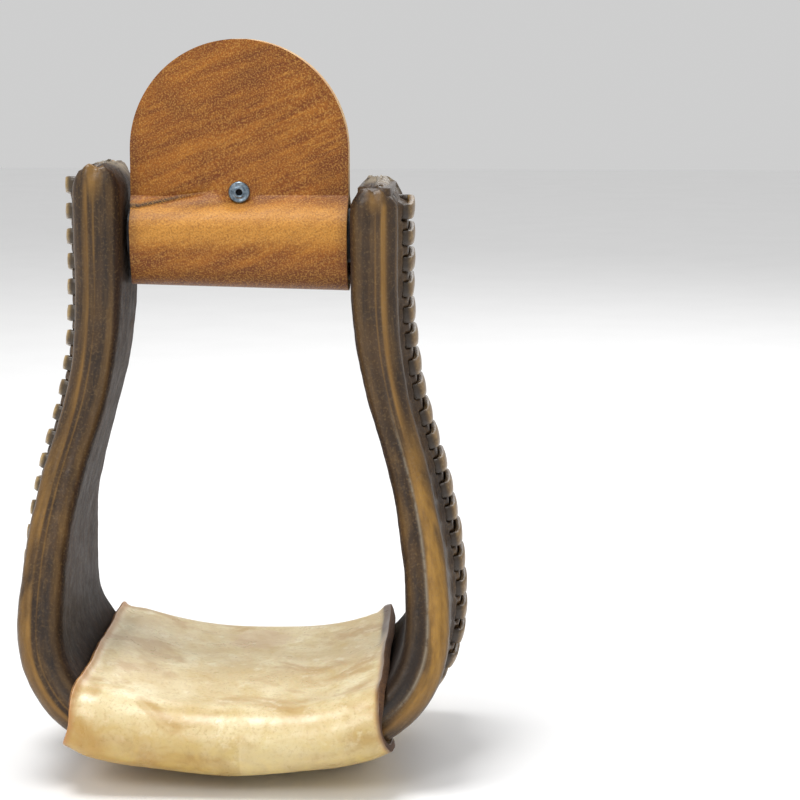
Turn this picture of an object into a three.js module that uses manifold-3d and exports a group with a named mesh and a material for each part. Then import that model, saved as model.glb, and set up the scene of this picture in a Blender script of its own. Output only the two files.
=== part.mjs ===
// A western saddle stirrup: a leather-covered, bell-bottomed wooden stirrup with a laced outer seam,
// a leather tread sleeve, and a bolt leather folded round a roller at the neck.
//
// Millimetres. X runs across the stirrup, along its bolt; the front faces -Y; Z is up.
// The origin is on the resting plane, under the middle of the tread.

import * as THREE from 'three';
import { mergeVertices } from 'three/addons/utils/BufferGeometryUtils.js';
import Module from 'manifold-3d';

const wasm = await Module();
wasm.setup();

// ---- Driving dimensions ----

const GAP = 0.3; // kept between pieces that touch

// Bow and its leather cover. Depths and thicknesses are over the leather.
const NECK_GAP = 77.8; // between the legs at the bolt
const LEG_TOP = 207;
const WOOD_TOP = 200.5; // the cover is folded over above it
const NECK_DEPTH = 41;
const FOOT_DEPTH = 98;
const FLARE = 0.29; // how fast each side of a leg widens going down
const FLARE_TOP = 124;
const NECK_THICKNESS = 16.2;
const WAIST_THICKNESS = 13.8;
const FOOT_THICKNESS = 15.4;
const LEAN = THREE.MathUtils.degToRad(17);
const NECK_END = 170; // heights where the leg's bends start and stop
const LEAN_TOP = 122;
const LEAN_END = 110;
const KNEE = 54.5;
const BOARD_MIDDLE = 19;
const EDGE_RADIUS = 6;
const COVER_LEATHER = 2.4;

// Laced seam along the middle of the outer face.
const LACE_WIDTH = 5.4;
const LACE_THICKNESS = 1.2;
const LACE_SPAN = 12.6; // from one row of slits to the other
const LACE_PITCH = 8.9;
const LACE_BARS = 22;
const LACE_SLANT = 2.6; // how much lower a bar's low end is
const LACE_TOP = 198.3; // middle of the topmost bar
const SLIT_EASE = 1.5; // extra width towards the seam, where the lace turns over
const LACE_TURN = 1.1; // how far before a slit the lace starts to turn into it
const SEAM_SLOT = 1.6;

// Tread sleeve.
const SLEEVE_LEATHER = 4.4;
const SLEEVE_DEPTH = 111;
const SLEEVE_HALF_TOP = 51.5;
const SLEEVE_HALF_CORNER = 54.6; // half width where the underside turns up
const SLEEVE_HALF_BOTTOM = 59;
const SLEEVE_TOP_CORNER = 14;
const SLEEVE_BOTTOM_CORNER = 11;
const KEEL_DROP = 5.6; // the seam pushes the middle of the underside down
const KEEL_FLAT = 9; // half width of the flat that it rests on
const BUTT_GAP = 1.2;
const TOP_CORNER_STEPS = 4;
const BOTTOM_CORNER_STEPS = 3;

// Bolt, roller and bolt leather.
const BOLT_HEIGHT = 185;
const BOLT_RADIUS = 4;
const HEAD_RADIUS = 7;
const HEAD_HEIGHT = 3;
const WASHER_RADIUS = 8;
const WASHER_THICKNESS = 1.2;
const ROLLER_RADIUS = 9.6;
const ROLLER_WALL = 1.6;
const BUSH_LENGTH = 12;
const BUSH_FLANGE = 1;
const FLAP_WIDTH = 75;
const FLAP_TOP = 252;
const FLAP_LEATHER = 3.7;
const FLAP_LOOP_RADIUS = 10.1;
const FLAP_LOOP_BOTTOM = 172.3;
const FLAP_CLOSE_START = 188;
const FLAP_CLOSE_END = 198.6;
const RIVET_HEIGHT = 200;
const RIVET_HEAD = 3.7;
const RIVET_SHANK = 2.1;
const RIVET_BORE = 0.9;
const RIVET_ROLL = 3.2; // radius of the rolled-over end
const RIVET_WASHER = 0.8;
const RIVET_RIM = 0.3; // height of the head's edge
const RIVET_RISE = 0.9; // height of the head's raised ring
const RIVET_LIP = 0.5; // height of the bore's mouth in front, and of the rolled end's side
const RIVET_ROUND = 0.7; // how far the raised ring and the rolled end slope in

// Tacks that close the sleeve under the tread.
const TACK_ROWS = [-39, -13, 13, 39];
const TACK_OFFSET = 13;
const TACK_HEAD = 3;
const TACK_SHANK = 0.9;
const TACK_REACH = 17.6;
const TACK_RIM = 0.6; // height of the head's edge
const TACK_NECK = 1; // height where the shank starts
const TACK_POINT = 2;
const TACK_RECESS = 0.5;
const TACK_HOLE_BELOW = 20; // the hole's mouth is cut clear of the underside
const TACK_SIDES = 10;
const TACK_EASE = 0.8; // kept past the tack's point

// Worked out from the above.
const WOOD_INSET = COVER_LEATHER + GAP;
const RIDGE_RISE = LACE_THICKNESS + 0.4;
const NECK_X = NECK_GAP / 2 + NECK_THICKNESS / 2;
const BENDS_HEIGHT = NECK_END - LEAN_TOP + LEAN_END - KNEE;
const LEAN_WIDTH = BENDS_HEIGHT * Math.tan(LEAN / 2) + (LEAN_TOP - LEAN_END) * Math.tan(LEAN);
const FOOT_X = NECK_X + LEAN_WIDTH;
const CORNER_RADIUS = KNEE - BOARD_MIDDLE;
const RIDGE_CREST = LACE_SPAN / 2 + LACE_THICKNESS;
const RIDGE_FOOT = RIDGE_CREST + 3;
const BOW_END = LEG_TOP - 4; // where the path stops, below the flat top of a leg

// ---- Geometry helpers ----

const softMax = (a, b, softness) => (a + b + Math.hypot(a - b, softness)) / 2;
const softMin = (a, b, softness) => (a + b - Math.hypot(a - b, softness)) / 2;
const smooth = THREE.MathUtils.smoothstep;
const mix = THREE.MathUtils.lerp;
const flat = (u, v) => new THREE.Vector2(u, v);

// Six times the signed volume inside a set of triangles: negative when their faces point in.
function signedVolume(positions, index) {
  const corner = (i) => new THREE.Vector3().fromArray(positions, 3 * index[i]);
  let sum = 0;
  for (let i = 0; i < index.length; i += 3) {
    sum += corner(i).dot(corner(i + 1).cross(corner(i + 2)));
  }
  return sum;
}

// A closed body through a row of flat sections with equal numbers of points. place(i, u, v) puts a
// section's point in space.
function loft(sections, place) {
  const count = sections[0].length;
  const positions = [];
  const index = [];
  sections.forEach((section, i) => {
    section.forEach((point) => positions.push(...place(i, point.x, point.y).toArray()));
  });
  for (let ring = 0; ring + 1 < sections.length; ring += 1) {
    for (let i = 0; i < count; i += 1) {
      const here = ring * count + i;
      const next = ring * count + ((i + 1) % count);
      index.push(here, next, next + count, here, next + count, here + count);
    }
  }
  const addCap = (section, offset, first) => {
    const anticlockwise = THREE.ShapeUtils.area(section) > 0;
    for (const [a, b, c] of THREE.ShapeUtils.triangulateShape(section, [])) {
      const turn = section[b].clone().sub(section[a]).cross(section[c].clone().sub(section[a]));
      const followsRing = turn > 0 === anticlockwise;
      const corners = followsRing === first ? [a, c, b] : [a, b, c];
      index.push(...corners.map((corner) => corner + offset));
    }
  };
  addCap(sections[0], 0, true);
  addCap(sections[sections.length - 1], (sections.length - 1) * count, false);
  if (signedVolume(positions, index) < 0) index.reverse();
  const geometry = new THREE.BufferGeometry();
  geometry.setAttribute('position', new THREE.Float32BufferAttribute(positions, 3));
  geometry.setIndex(index);
  return geometry;
}

// A cylinder along X, Y or Z, from low to high.
function rod(axis, radius, low, high, sides = 20) {
  const geometry = new THREE.CylinderGeometry(radius, radius, high - low, sides);
  if (axis === 'x') geometry.rotateZ(-Math.PI / 2);
  if (axis === 'z') geometry.rotateX(Math.PI / 2);
  const middle = new THREE.Vector3();
  middle[axis] = (low + high) / 2;
  return geometry.translate(...middle.toArray());
}

// A turned piece: [radius, height] pairs round the Z axis, closed on itself when it has a bore.
function turned(profile, sides = 18) {
  const points = profile.map(([radius, height]) => flat(radius, height));
  if (profile[0][0] > 0) points.push(points[0].clone());
  return new THREE.LatheGeometry(points, sides).rotateX(Math.PI / 2);
}

function solid(geometry) {
  const bare = geometry.clone();
  bare.deleteAttribute('normal');
  bare.deleteAttribute('uv');
  const merged = mergeVertices(bare, 1e-4);
  const vertProperties = merged.getAttribute('position').array;
  const triVerts = Uint32Array.from(merged.getIndex().array);
  return new wasm.Manifold(new wasm.Mesh({ numProp: 3, vertProperties, triVerts }));
}

function geometryOf(body) {
  const mesh = body.getMesh();
  const geometry = new THREE.BufferGeometry();
  geometry.setAttribute('position', new THREE.BufferAttribute(mesh.vertProperties, 3));
  geometry.setIndex(new THREE.BufferAttribute(mesh.triVerts, 1));
  return geometry;
}

function cut(geometry, tools) {
  return geometryOf(tools.reduce((body, tool) => body.subtract(solid(tool)), solid(geometry)));
}

// ---- The bow's path ----

// Half of the bow's middle line, from the middle of the tread to the top of the +X leg. Each station
// has its point, its outward normal and the direction that the path runs in, all in the XZ plane.
function walkHalfBow() {
  const stations = [];
  const point = flat(0, BOARD_MIDDLE);
  let heading = 0;
  const note = () => {
    stations.push({
      point: new THREE.Vector3(point.x, 0, point.y),
      normal: new THREE.Vector3(Math.sin(heading), 0, -Math.cos(heading)),
      along: new THREE.Vector3(Math.cos(heading), 0, Math.sin(heading)),
    });
  };
  const straight = (length, steps) => {
    for (let i = 0; i < steps; i += 1) {
      point.x += (Math.cos(heading) * length) / steps;
      point.y += (Math.sin(heading) * length) / steps;
      note();
    }
  };
  const bend = (radius, angle, steps) => {
    const turn = angle / steps;
    const chord = 2 * radius * Math.sin(Math.abs(turn) / 2);
    for (let i = 0; i < steps; i += 1) {
      point.x += Math.cos(heading + turn / 2) * chord;
      point.y += Math.sin(heading + turn / 2) * chord;
      heading += turn;
      note();
    }
  };
  note();
  straight(FOOT_X - CORNER_RADIUS, 2);
  bend(CORNER_RADIUS, Math.PI / 2, 8);
  bend((LEAN_END - KNEE) / Math.sin(LEAN), LEAN, 3);
  straight((LEAN_TOP - LEAN_END) / Math.cos(LEAN), 1);
  bend((NECK_END - LEAN_TOP) / Math.sin(LEAN), -LEAN, 3);
  straight(BOW_END - NECK_END, 2);
  return stations;
}

function halfDepth(height) {
  const flared = NECK_DEPTH / 2 + (FLARE_TOP - height) * FLARE;
  return softMin(softMax(NECK_DEPTH / 2, flared, 4), FOOT_DEPTH / 2, 4);
}

function halfThickness(height) {
  const aboveWaist = mix(WAIST_THICKNESS, NECK_THICKNESS, smooth(height, LEAN_END, NECK_END));
  return mix(FOOT_THICKNESS, aboveWaist, smooth(height, KNEE, LEAN_END)) / 2;
}

const mirrored = (vector) => new THREE.Vector3(-vector.x, vector.y, vector.z);

// The whole path, from the top of the -X leg round to the top of the +X leg.
function wholeBow() {
  const right = walkHalfBow();
  const left = right.slice(1).reverse().map((station) => ({
    point: mirrored(station.point),
    normal: mirrored(station.normal),
    along: mirrored(station.along).negate(),
  }));
  return [...left, ...right];
}

// ---- Sections, with u along Y and v outward ----

// A rounded rectangle. With a rise, the middle of its outer side stands up as the seam's ridge.
function barSection(halfWide, halfThick, radius, rise) {
  const points = [];
  const corner = (u, v, start) => {
    for (let i = 0; i <= 2; i += 1) {
      const angle = start + (i * Math.PI) / 4;
      points.push(flat(u + radius * Math.cos(angle), v + radius * Math.sin(angle)));
    }
  };
  corner(halfWide - radius, halfThick - radius, 0);
  if (rise > 0) {
    points.push(flat(RIDGE_FOOT, halfThick), flat(RIDGE_CREST, halfThick + rise));
    points.push(flat(-RIDGE_CREST, halfThick + rise), flat(-RIDGE_FOOT, halfThick));
  }
  corner(-halfWide + radius, halfThick - radius, Math.PI / 2);
  corner(-halfWide + radius, -halfThick + radius, Math.PI);
  corner(halfWide - radius, -halfThick + radius, (3 * Math.PI) / 2);
  return points;
}

// A bar that follows the bow, pulled in all round by inset, with its tops at the given height.
function bowBar(inset, top, rise) {
  const stations = wholeBow();
  const sections = stations.map((station) => {
    const wide = halfDepth(station.point.z) - inset;
    const thick = halfThickness(station.point.z) - inset;
    return barSection(wide, thick, Math.min(EDGE_RADIUS - inset, thick - 0.2), rise);
  });
  return loft(sections, (i, u, v) => {
    const { point, normal } = stations[i];
    const placed = point.clone().addScaledVector(normal, v).setY(-u);
    if (i === 0 || i === stations.length - 1) placed.z = top;
    return placed;
  });
}

// ---- Bow and cover ----

function boltHole(radius, low, high) {
  return rod('x', radius, low, high).translate(0, 0, BOLT_HEIGHT);
}

function makeWoodenBow() {
  const seat = NECK_X + NECK_THICKNESS / 2 - WOOD_INSET - HEAD_HEIGHT - WASHER_THICKNESS - GAP;
  const outside = NECK_X + NECK_THICKNESS;
  return cut(bowBar(WOOD_INSET, WOOD_TOP, 0), [
    boltHole(BOLT_RADIUS + GAP, -outside, outside),
    boltHole(WASHER_RADIUS + GAP, seat, outside),
    boltHole(WASHER_RADIUS + GAP, -outside, -seat),
    ...tackHoles(),
  ]);
}

function makeCover() {
  const outer = solid(bowBar(0, LEG_TOP, RIDGE_RISE));
  const stations = wholeBow();
  const slots = stations.map((station) => {
    const surface = halfThickness(station.point.z) + RIDGE_RISE;
    const half = SEAM_SLOT / 2;
    const high = surface + 1;
    const low = surface - COVER_LEATHER - 1;
    return [flat(half, low), flat(half, high), flat(-half, high), flat(-half, low)];
  });
  const slot = loft(slots, (i, u, v) => {
    const { point, normal } = stations[i];
    const placed = point.clone().addScaledVector(normal, v).setY(-u);
    if (i === 0 || i === stations.length - 1) placed.z = LEG_TOP - 2 * COVER_LEATHER;
    return placed;
  });
  const hollow = bowBar(COVER_LEATHER, LEG_TOP - COVER_LEATHER, RIDGE_RISE);
  const inside = NECK_X - NECK_THICKNESS / 4;
  const tools = [hollow, slot, boltHole(BOLT_RADIUS + GAP, -inside, inside), ...tackHoles()];
  tools.push(...slits(), ...slits().map((slit) => slit.rotateZ(Math.PI)));
  return geometryOf(tools.reduce((body, tool) => body.subtract(solid(tool)), outer));
}

// ---- Lacing on the +X leg; the other leg's is the same piece turned half way round ----

// Places along the seam at even distances, measured on the leather, from the top down.
function seamPlaces() {
  const stations = walkHalfBow().reverse();
  const surface = (station) => {
    const lift = halfThickness(station.point.z) + RIDGE_RISE;
    return station.point.clone().addScaledVector(station.normal, lift);
  };
  const lengths = [0];
  for (let i = 1; i < stations.length; i += 1) {
    lengths.push(lengths[i - 1] + surface(stations[i]).distanceTo(surface(stations[i - 1])));
  }
  return (distance) => {
    const upper = Math.max(1, lengths.findIndex((length) => length >= distance));
    const t = (distance - lengths[upper - 1]) / (lengths[upper] - lengths[upper - 1]);
    const [from, to] = [stations[upper - 1], stations[upper]];
    return {
      point: from.point.clone().lerp(to.point, t),
      normal: from.normal.clone().lerp(to.normal, t).normalize(),
      along: from.along.clone().lerp(to.along, t).normalize(),
    };
  };
}

// The two ends of each visible bar, as distances down the seam: the -Y end is the lower one.
function laceBars() {
  const start = BOW_END - LACE_TOP;
  return Array.from({ length: LACE_BARS }, (_, i) => ({
    low: start + i * LACE_PITCH + LACE_SLANT / 2,
    high: start + i * LACE_PITCH - LACE_SLANT / 2,
  }));
}

function slits() {
  const place = seamPlaces();
  const hole = (distance, side) => {
    const { point, normal, along } = place(distance);
    const lift = halfThickness(point.z) + RIDGE_RISE - COVER_LEATHER / 2;
    const turn = new THREE.Matrix4().makeBasis(along, new THREE.Vector3(0, 1, 0), normal);
    const across = side * (LACE_SPAN - SLIT_EASE) / 2;
    const centre = point.clone().addScaledVector(normal, lift).setY(across);
    const size = [LACE_WIDTH + 3 * GAP, LACE_THICKNESS + 2 * GAP + SLIT_EASE, COVER_LEATHER + 2];
    const handed = turn.determinant() < 0 ? turn.scale(new THREE.Vector3(-1, 1, 1)) : turn;
    return new THREE.BoxGeometry(...size).applyMatrix4(handed.setPosition(centre));
  };
  return laceBars().flatMap((bar) => [hole(bar.low, -1), hole(bar.high, 1)]);
}

// One flat thong, wound through the slits: over the seam, in, back under it, and out again.
function makeLace() {
  const place = seamPlaces();
  const half = LACE_SPAN / 2;
  const route = [];
  const add = (distance, across, level, direction) => {
    route.push({ distance, across, level, direction });
  };
  const above = RIDGE_RISE + GAP + LACE_THICKNESS / 2;
  const below = -COVER_LEATHER + RIDGE_RISE - GAP / 2 - LACE_THICKNESS / 2;
  const bars = laceBars();
  bars.forEach((bar, i) => {
    add(bar.high, half - LACE_TURN, below, [1, 0]);
    add(bar.high, half, below + LACE_TURN, [0, 1]);
    add(bar.high, half, above - LACE_TURN, [0, 1]);
    add(bar.high, half - LACE_TURN, above, [-1, 0]);
    add(bar.low, -half + LACE_TURN, above, [-1, 0]);
    add(bar.low, -half, above - LACE_TURN, [0, -1]);
    add(bar.low, -half, below + LACE_TURN, [0, -1]);
    add(bar.low, -half + LACE_TURN, below, [1, 0]);
    if (i + 1 === bars.length) add(bar.low, 0, below, [1, 0]);
  });
  const halfWide = LACE_WIDTH / 2;
  const halfThick = LACE_THICKNESS / 2;
  const section = [
    flat(-halfWide, -halfThick),
    flat(halfWide, -halfThick),
    flat(halfWide, halfThick),
    flat(-halfWide, halfThick),
  ];
  return loft(route.map(() => section), (i, u, v) => {
    const { distance, across, level, direction } = route[i];
    const { point, normal, along } = place(distance + u);
    const [acrossStep, levelStep] = direction;
    const lift = halfThickness(point.z) + level + v * acrossStep;
    return point.clone().addScaledVector(normal, lift).setY(across - v * levelStep);
  });
}

// ---- Tread sleeve ----

// Height of the bow's surface over X, at the given distance from its middle line. side is 1 for the
// upper surface and -1 for the underside.
function boardHeight(x, distance, side) {
  const centre = FOOT_X - CORNER_RADIUS;
  const past = Math.max(0, Math.abs(x) - centre);
  const radius = CORNER_RADIUS - side * distance;
  return KNEE - Math.sqrt(Math.max(radius * radius - past * past, 0));
}

// One end of the sleeve's loop: round corners from the top's edge to the underside's edge, made
// smaller by inset.
function sleeveSide(halfWide, top, bottom, inset, side) {
  const points = [];
  const upper = SLEEVE_TOP_CORNER - inset;
  for (let i = 0; i <= TOP_CORNER_STEPS; i += 1) {
    const angle = ((i / TOP_CORNER_STEPS) * Math.PI) / 2;
    const across = halfWide - upper + upper * Math.sin(angle);
    points.push(flat(side * across, top - upper + upper * Math.cos(angle)));
  }
  const lower = SLEEVE_BOTTOM_CORNER - inset;
  for (let i = 0; i <= BOTTOM_CORNER_STEPS; i += 1) {
    const angle = ((i / BOTTOM_CORNER_STEPS) * Math.PI) / 2;
    const across = halfWide - lower + lower * Math.cos(angle);
    points.push(flat(side * across, bottom + lower - lower * Math.sin(angle)));
  }
  return points;
}

function sleeveLoop(halfWide, top, bottom, keel, inset) {
  const front = sleeveSide(halfWide, top, bottom, inset, 1);
  const back = sleeveSide(halfWide, top, bottom, inset, -1).reverse();
  const gap = BUTT_GAP / 2;
  return [
    flat(-gap, keel), flat(-KEEL_FLAT, keel), ...back, ...front, flat(KEEL_FLAT, keel), flat(gap, keel),
  ];
}

function makeSleeve() {
  const steps = [-1, -0.9, -0.8, -0.7, -0.6, 0.6, 0.7, 0.8, 0.9, 1];
  const thickFoot = FOOT_THICKNESS / 2;
  const half = SLEEVE_DEPTH / 2;
  const sections = steps.map((step) => {
    const topX = step * SLEEVE_HALF_TOP;
    const cornerX = step * SLEEVE_HALF_CORNER;
    const innerTop = boardHeight(topX, thickFoot, 1) + 2 * GAP;
    const top = boardHeight(topX, thickFoot + SLEEVE_LEATHER + GAP, 1) + GAP;
    const keel = boardHeight(cornerX, thickFoot, -1) - boardHeight(0, thickFoot, -1);
    const innerKeel = keel + SLEEVE_LEATHER;
    const outer = sleeveLoop(half, top, keel + KEEL_DROP, keel, 0);
    const inner = sleeveLoop(
      half - SLEEVE_LEATHER, innerTop, innerKeel + KEEL_DROP, innerKeel, SLEEVE_LEATHER,
    );
    return [...outer, ...inner.reverse()];
  });
  const sleeve = loft(sections, (i, u, v) => {
    const level = THREE.MathUtils.clamp(v / (BOARD_MIDDLE + thickFoot), 0, 1);
    return new THREE.Vector3(steps[i] * mix(SLEEVE_HALF_BOTTOM, SLEEVE_HALF_TOP, level), u, v);
  });
  return cut(sleeve, tackHoles());
}

// ---- Tacks ----

const tackPlaces = TACK_ROWS.flatMap((x) => [-1, 1].map((side) => [x, side * TACK_OFFSET]));

// The sleeve's lower surface where a tack goes in.
function sleeveUnderside(x, y) {
  const thickFoot = FOOT_THICKNESS / 2;
  const slope = (Math.abs(y) - KEEL_FLAT) / (SLEEVE_DEPTH / 2 - SLEEVE_BOTTOM_CORNER - KEEL_FLAT);
  return boardHeight(x, thickFoot, -1) - boardHeight(0, thickFoot, -1) + KEEL_DROP * slope;
}

function tackHoles() {
  const wide = TACK_HEAD + GAP;
  const narrow = TACK_SHANK + GAP;
  const rim = TACK_RIM + GAP;
  const neck = TACK_NECK + 2 * GAP;
  const end = TACK_REACH + TACK_EASE;
  return tackPlaces.map(([x, y]) => {
    const hole = turned([
      [0, -TACK_HOLE_BELOW], [wide, -TACK_HOLE_BELOW], [wide, rim],
      [narrow, neck], [narrow, end], [0, end],
    ], TACK_SIDES);
    return hole.translate(x, y, sleeveUnderside(x, y) + TACK_RECESS);
  });
}

function makeTack(x, y) {
  const tack = turned([
    [0, 0], [TACK_HEAD, 0], [TACK_HEAD - GAP, TACK_RIM],
    [TACK_SHANK, TACK_NECK], [TACK_SHANK, TACK_REACH - TACK_POINT], [0, TACK_REACH],
  ], TACK_SIDES);
  return tack.translate(x, y, sleeveUnderside(x, y) + TACK_RECESS);
}

// ---- Bolt and roller, modelled along X at the bolt's height ----

const boltSeat = NECK_X + NECK_THICKNESS / 2 - WOOD_INSET - HEAD_HEIGHT - WASHER_THICKNESS;

function makeBolt() {
  const headStart = boltSeat + WASHER_THICKNESS + GAP;
  const boltEnd = boltSeat + WASHER_THICKNESS + HEAD_HEIGHT;
  const head = rod('x', HEAD_RADIUS, headStart, boltEnd, 24);
  const shank = rod('x', BOLT_RADIUS, -boltEnd, headStart + GAP);
  return geometryOf(solid(head).add(solid(shank)));
}

function ringAlongX(outer, inner, low, high, sides = 18) {
  return turned([[inner, low], [outer, low], [outer, high], [inner, high]], sides).rotateY(Math.PI / 2);
}

function makeNut() {
  const far = boltSeat + WASHER_THICKNESS + HEAD_HEIGHT;
  const hexagonBore = (BOLT_RADIUS + GAP) / Math.cos(Math.PI / 6);
  return ringAlongX(HEAD_RADIUS, hexagonBore, -far, -boltSeat - WASHER_THICKNESS - GAP, 6);
}

function makeWasher(side) {
  const edges = [boltSeat, boltSeat + WASHER_THICKNESS].map((x) => side * x).sort((a, b) => a - b);
  return ringAlongX(WASHER_RADIUS, BOLT_RADIUS + GAP, edges[0], edges[1]);
}

const bushEnd = NECK_GAP / 2 - 2 * GAP;
const tubeEnd = bushEnd - BUSH_FLANGE - GAP;

function makeRollerTube() {
  return ringAlongX(ROLLER_RADIUS, ROLLER_RADIUS - ROLLER_WALL, -tubeEnd, tubeEnd, 28);
}

function makeBush() {
  const bore = BOLT_RADIUS + GAP;
  const barrel = ROLLER_RADIUS - ROLLER_WALL - GAP;
  const profile = [
    [bore, bushEnd - BUSH_LENGTH], [barrel, bushEnd - BUSH_LENGTH], [barrel, bushEnd - BUSH_FLANGE],
    [ROLLER_RADIUS - GAP, bushEnd - BUSH_FLANGE], [ROLLER_RADIUS - GAP, bushEnd], [bore, bushEnd],
  ];
  return turned(profile, 20).rotateY(Math.PI / 2);
}

// ---- Bolt leather: one strap folded up round the roller, its two layers riveted together ----

// The inner face of the front layer, from the bottom of the loop to the top: [half gap, height].
function loopInside() {
  const points = [];
  const centre = FLAP_LOOP_BOTTOM + FLAP_LOOP_RADIUS;
  for (let i = 0; i <= 6; i += 1) {
    const angle = (i * Math.PI) / 12;
    points.push(flat(FLAP_LOOP_RADIUS * Math.sin(angle), centre - FLAP_LOOP_RADIUS * Math.cos(angle)));
  }
  const closeSteps = 7;
  for (let i = 0; i <= closeSteps; i += 1) {
    const height = mix(FLAP_CLOSE_START, FLAP_CLOSE_END, i / closeSteps);
    const closed = smooth(height, FLAP_CLOSE_START, FLAP_CLOSE_END);
    points.push(flat(mix(FLAP_LOOP_RADIUS, GAP / 2, closed), height));
  }
  points.push(flat(GAP / 2, FLAP_TOP));
  return points;
}

// The same line moved outward by the leather's thickness.
function loopOutside(inside) {
  return inside.map((point, i) => {
    const before = inside[Math.max(i - 1, 0)];
    const after = inside[Math.min(i + 1, inside.length - 1)];
    const run = after.clone().sub(before).normalize();
    if (i === 0) return flat(0, point.y - FLAP_LEATHER);
    if (i === inside.length - 1) return flat(point.x + FLAP_LEATHER, point.y);
    return flat(point.x + run.y * FLAP_LEATHER, point.y - run.x * FLAP_LEATHER);
  });
}

// Where the rivet's head and washer press on the two layers, which are flattened under them.
const rivetSeat = GAP / 2 + FLAP_LEATHER;

function makeBoltLeather() {
  const inside = loopInside();
  const outside = loopOutside(inside);
  const across = (points) => points.slice(1).map((point) => flat(-point.x, point.y));
  const outline = [
    ...across(outside).reverse(), ...outside,
    ...inside.slice().reverse(), ...across(inside),
  ];
  const strap = loft([outline, outline], (i, u, v) => (
    new THREE.Vector3((i - 0.5) * FLAP_WIDTH, u, v)
  ));
  const half = FLAP_WIDTH / 2;
  const shape = new THREE.Shape();
  shape.moveTo(-half, FLAP_LOOP_BOTTOM - 2 * FLAP_LEATHER);
  shape.lineTo(half, FLAP_LOOP_BOTTOM - 2 * FLAP_LEATHER);
  shape.lineTo(half, FLAP_TOP - half);
  shape.absarc(0, FLAP_TOP - half, half, 0, Math.PI, false);
  const deep = 4 * FLAP_LOOP_RADIUS;
  const settings = { depth: deep, bevelEnabled: false, curveSegments: 28 };
  const outlineBlock = new THREE.ExtrudeGeometry(shape, settings);
  outlineBlock.translate(0, 0, -deep / 2).rotateX(Math.PI / 2);
  const seat = RIVET_HEAD + GAP;
  const holes = [
    rod('y', RIVET_SHANK + GAP, -deep, deep, 16),
    rod('y', seat, -deep, -rivetSeat),
    rod('y', seat, rivetSeat, deep),
  ].map((hole) => solid(hole.translate(0, 0, RIVET_HEIGHT)));
  const blank = solid(strap).intersect(solid(outlineBlock));
  return geometryOf(holes.reduce((body, hole) => body.subtract(hole), blank));
}

// A tubular rivet: head in front, and its end rolled over a washer behind.
function makeRivet() {
  const front = -rivetSeat - GAP;
  const back = rivetSeat + 2 * GAP + RIVET_WASHER;
  const profile = [
    [RIVET_BORE, front - RIVET_LIP], [RIVET_BORE + RIVET_ROUND, front - RIVET_RISE],
    [RIVET_HEAD - RIVET_ROUND, front - RIVET_RISE], [RIVET_HEAD, front - RIVET_RIM],
    [RIVET_HEAD, front], [RIVET_SHANK, front], [RIVET_SHANK, back], [RIVET_ROLL, back],
    [RIVET_ROLL, back + RIVET_LIP], [RIVET_ROLL - RIVET_ROUND, back + RIVET_RISE],
    [RIVET_BORE, back + RIVET_LIP],
  ];
  return turned(profile).rotateX(-Math.PI / 2).translate(0, 0, RIVET_HEIGHT);
}

function makeRivetWasher() {
  const low = rivetSeat + GAP;
  const bore = RIVET_SHANK + GAP;
  const high = low + RIVET_WASHER;
  const profile = [[bore, low], [RIVET_HEAD, low], [RIVET_HEAD, high], [bore, high]];
  return turned(profile).rotateX(-Math.PI / 2).translate(0, 0, RIVET_HEIGHT);
}

// ---- Assembly ----

const coverLeather = { color: 0x4a3828, roughness: 0.45, metalness: 0 };
const lacing = { color: 0xa58c50, roughness: 0.5, metalness: 0 };
const rawhide = { color: 0xe1cd96, roughness: 0.4, metalness: 0 };
const oiledLeather = { color: 0xaa692d, roughness: 0.55, metalness: 0 };
const wood = { color: 0xc09a66, roughness: 0.7, metalness: 0 };
const zinc = { color: 0x78878f, roughness: 0.35, metalness: 0.9 };
const steel = { color: 0x8a8d90, roughness: 0.4, metalness: 0.9 };
const blued = { color: 0x373741, roughness: 0.4, metalness: 0.8 };
const nylon = { color: 0x2a2a2e, roughness: 0.5, metalness: 0 };
const brass = { color: 0xb08d3c, roughness: 0.4, metalness: 0.9 };

function piece(name, geometry, finish) {
  const mesh = new THREE.Mesh(geometry, new THREE.MeshStandardMaterial(finish));
  mesh.name = name;
  return mesh;
}

const frame = new THREE.Group();
frame.add(piece('wooden_bow', makeWoodenBow(), wood));
frame.add(piece('leather_cover', makeCover(), coverLeather));
const rightLace = piece('right_lace', makeLace(), lacing);
const leftLace = piece('left_lace', makeLace(), lacing);
leftLace.rotation.z = Math.PI;
frame.add(rightLace, leftLace, piece('tread_sleeve', makeSleeve(), rawhide));
tackPlaces.forEach(([x, y], i) => frame.add(piece(`sleeve_tack_${i + 1}`, makeTack(x, y), brass)));

const neck = new THREE.Group();
neck.position.z = BOLT_HEIGHT;
neck.add(
  piece('stirrup_bolt', makeBolt(), steel),
  piece('bolt_washer', makeWasher(1), steel),
  piece('nut_washer', makeWasher(-1), steel),
  piece('bolt_nut', makeNut(), steel),
  piece('roller_tube', makeRollerTube(), blued),
);
const rightBush = piece('right_roller_bush', makeBush(), nylon);
const leftBush = piece('left_roller_bush', makeBush(), nylon);
leftBush.rotation.z = Math.PI;
neck.add(rightBush, leftBush);

const flap = new THREE.Group();
flap.add(
  piece('bolt_leather', makeBoltLeather(), oiledLeather),
  piece('flap_rivet', makeRivet(), zinc),
  piece('rivet_washer', makeRivetWasher(), zinc),
);

const stirrup = new THREE.Group();
stirrup.add(frame, neck, flap);

export default stirrup;
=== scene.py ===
"""Looks for a western saddle stirrup: laced cover, tread sleeve, bolt leather and small metal parts."""

import math
import random
from types import SimpleNamespace

import bmesh
import bpy
import numpy as np
from mathutils import Matrix, Vector, noise


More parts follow.
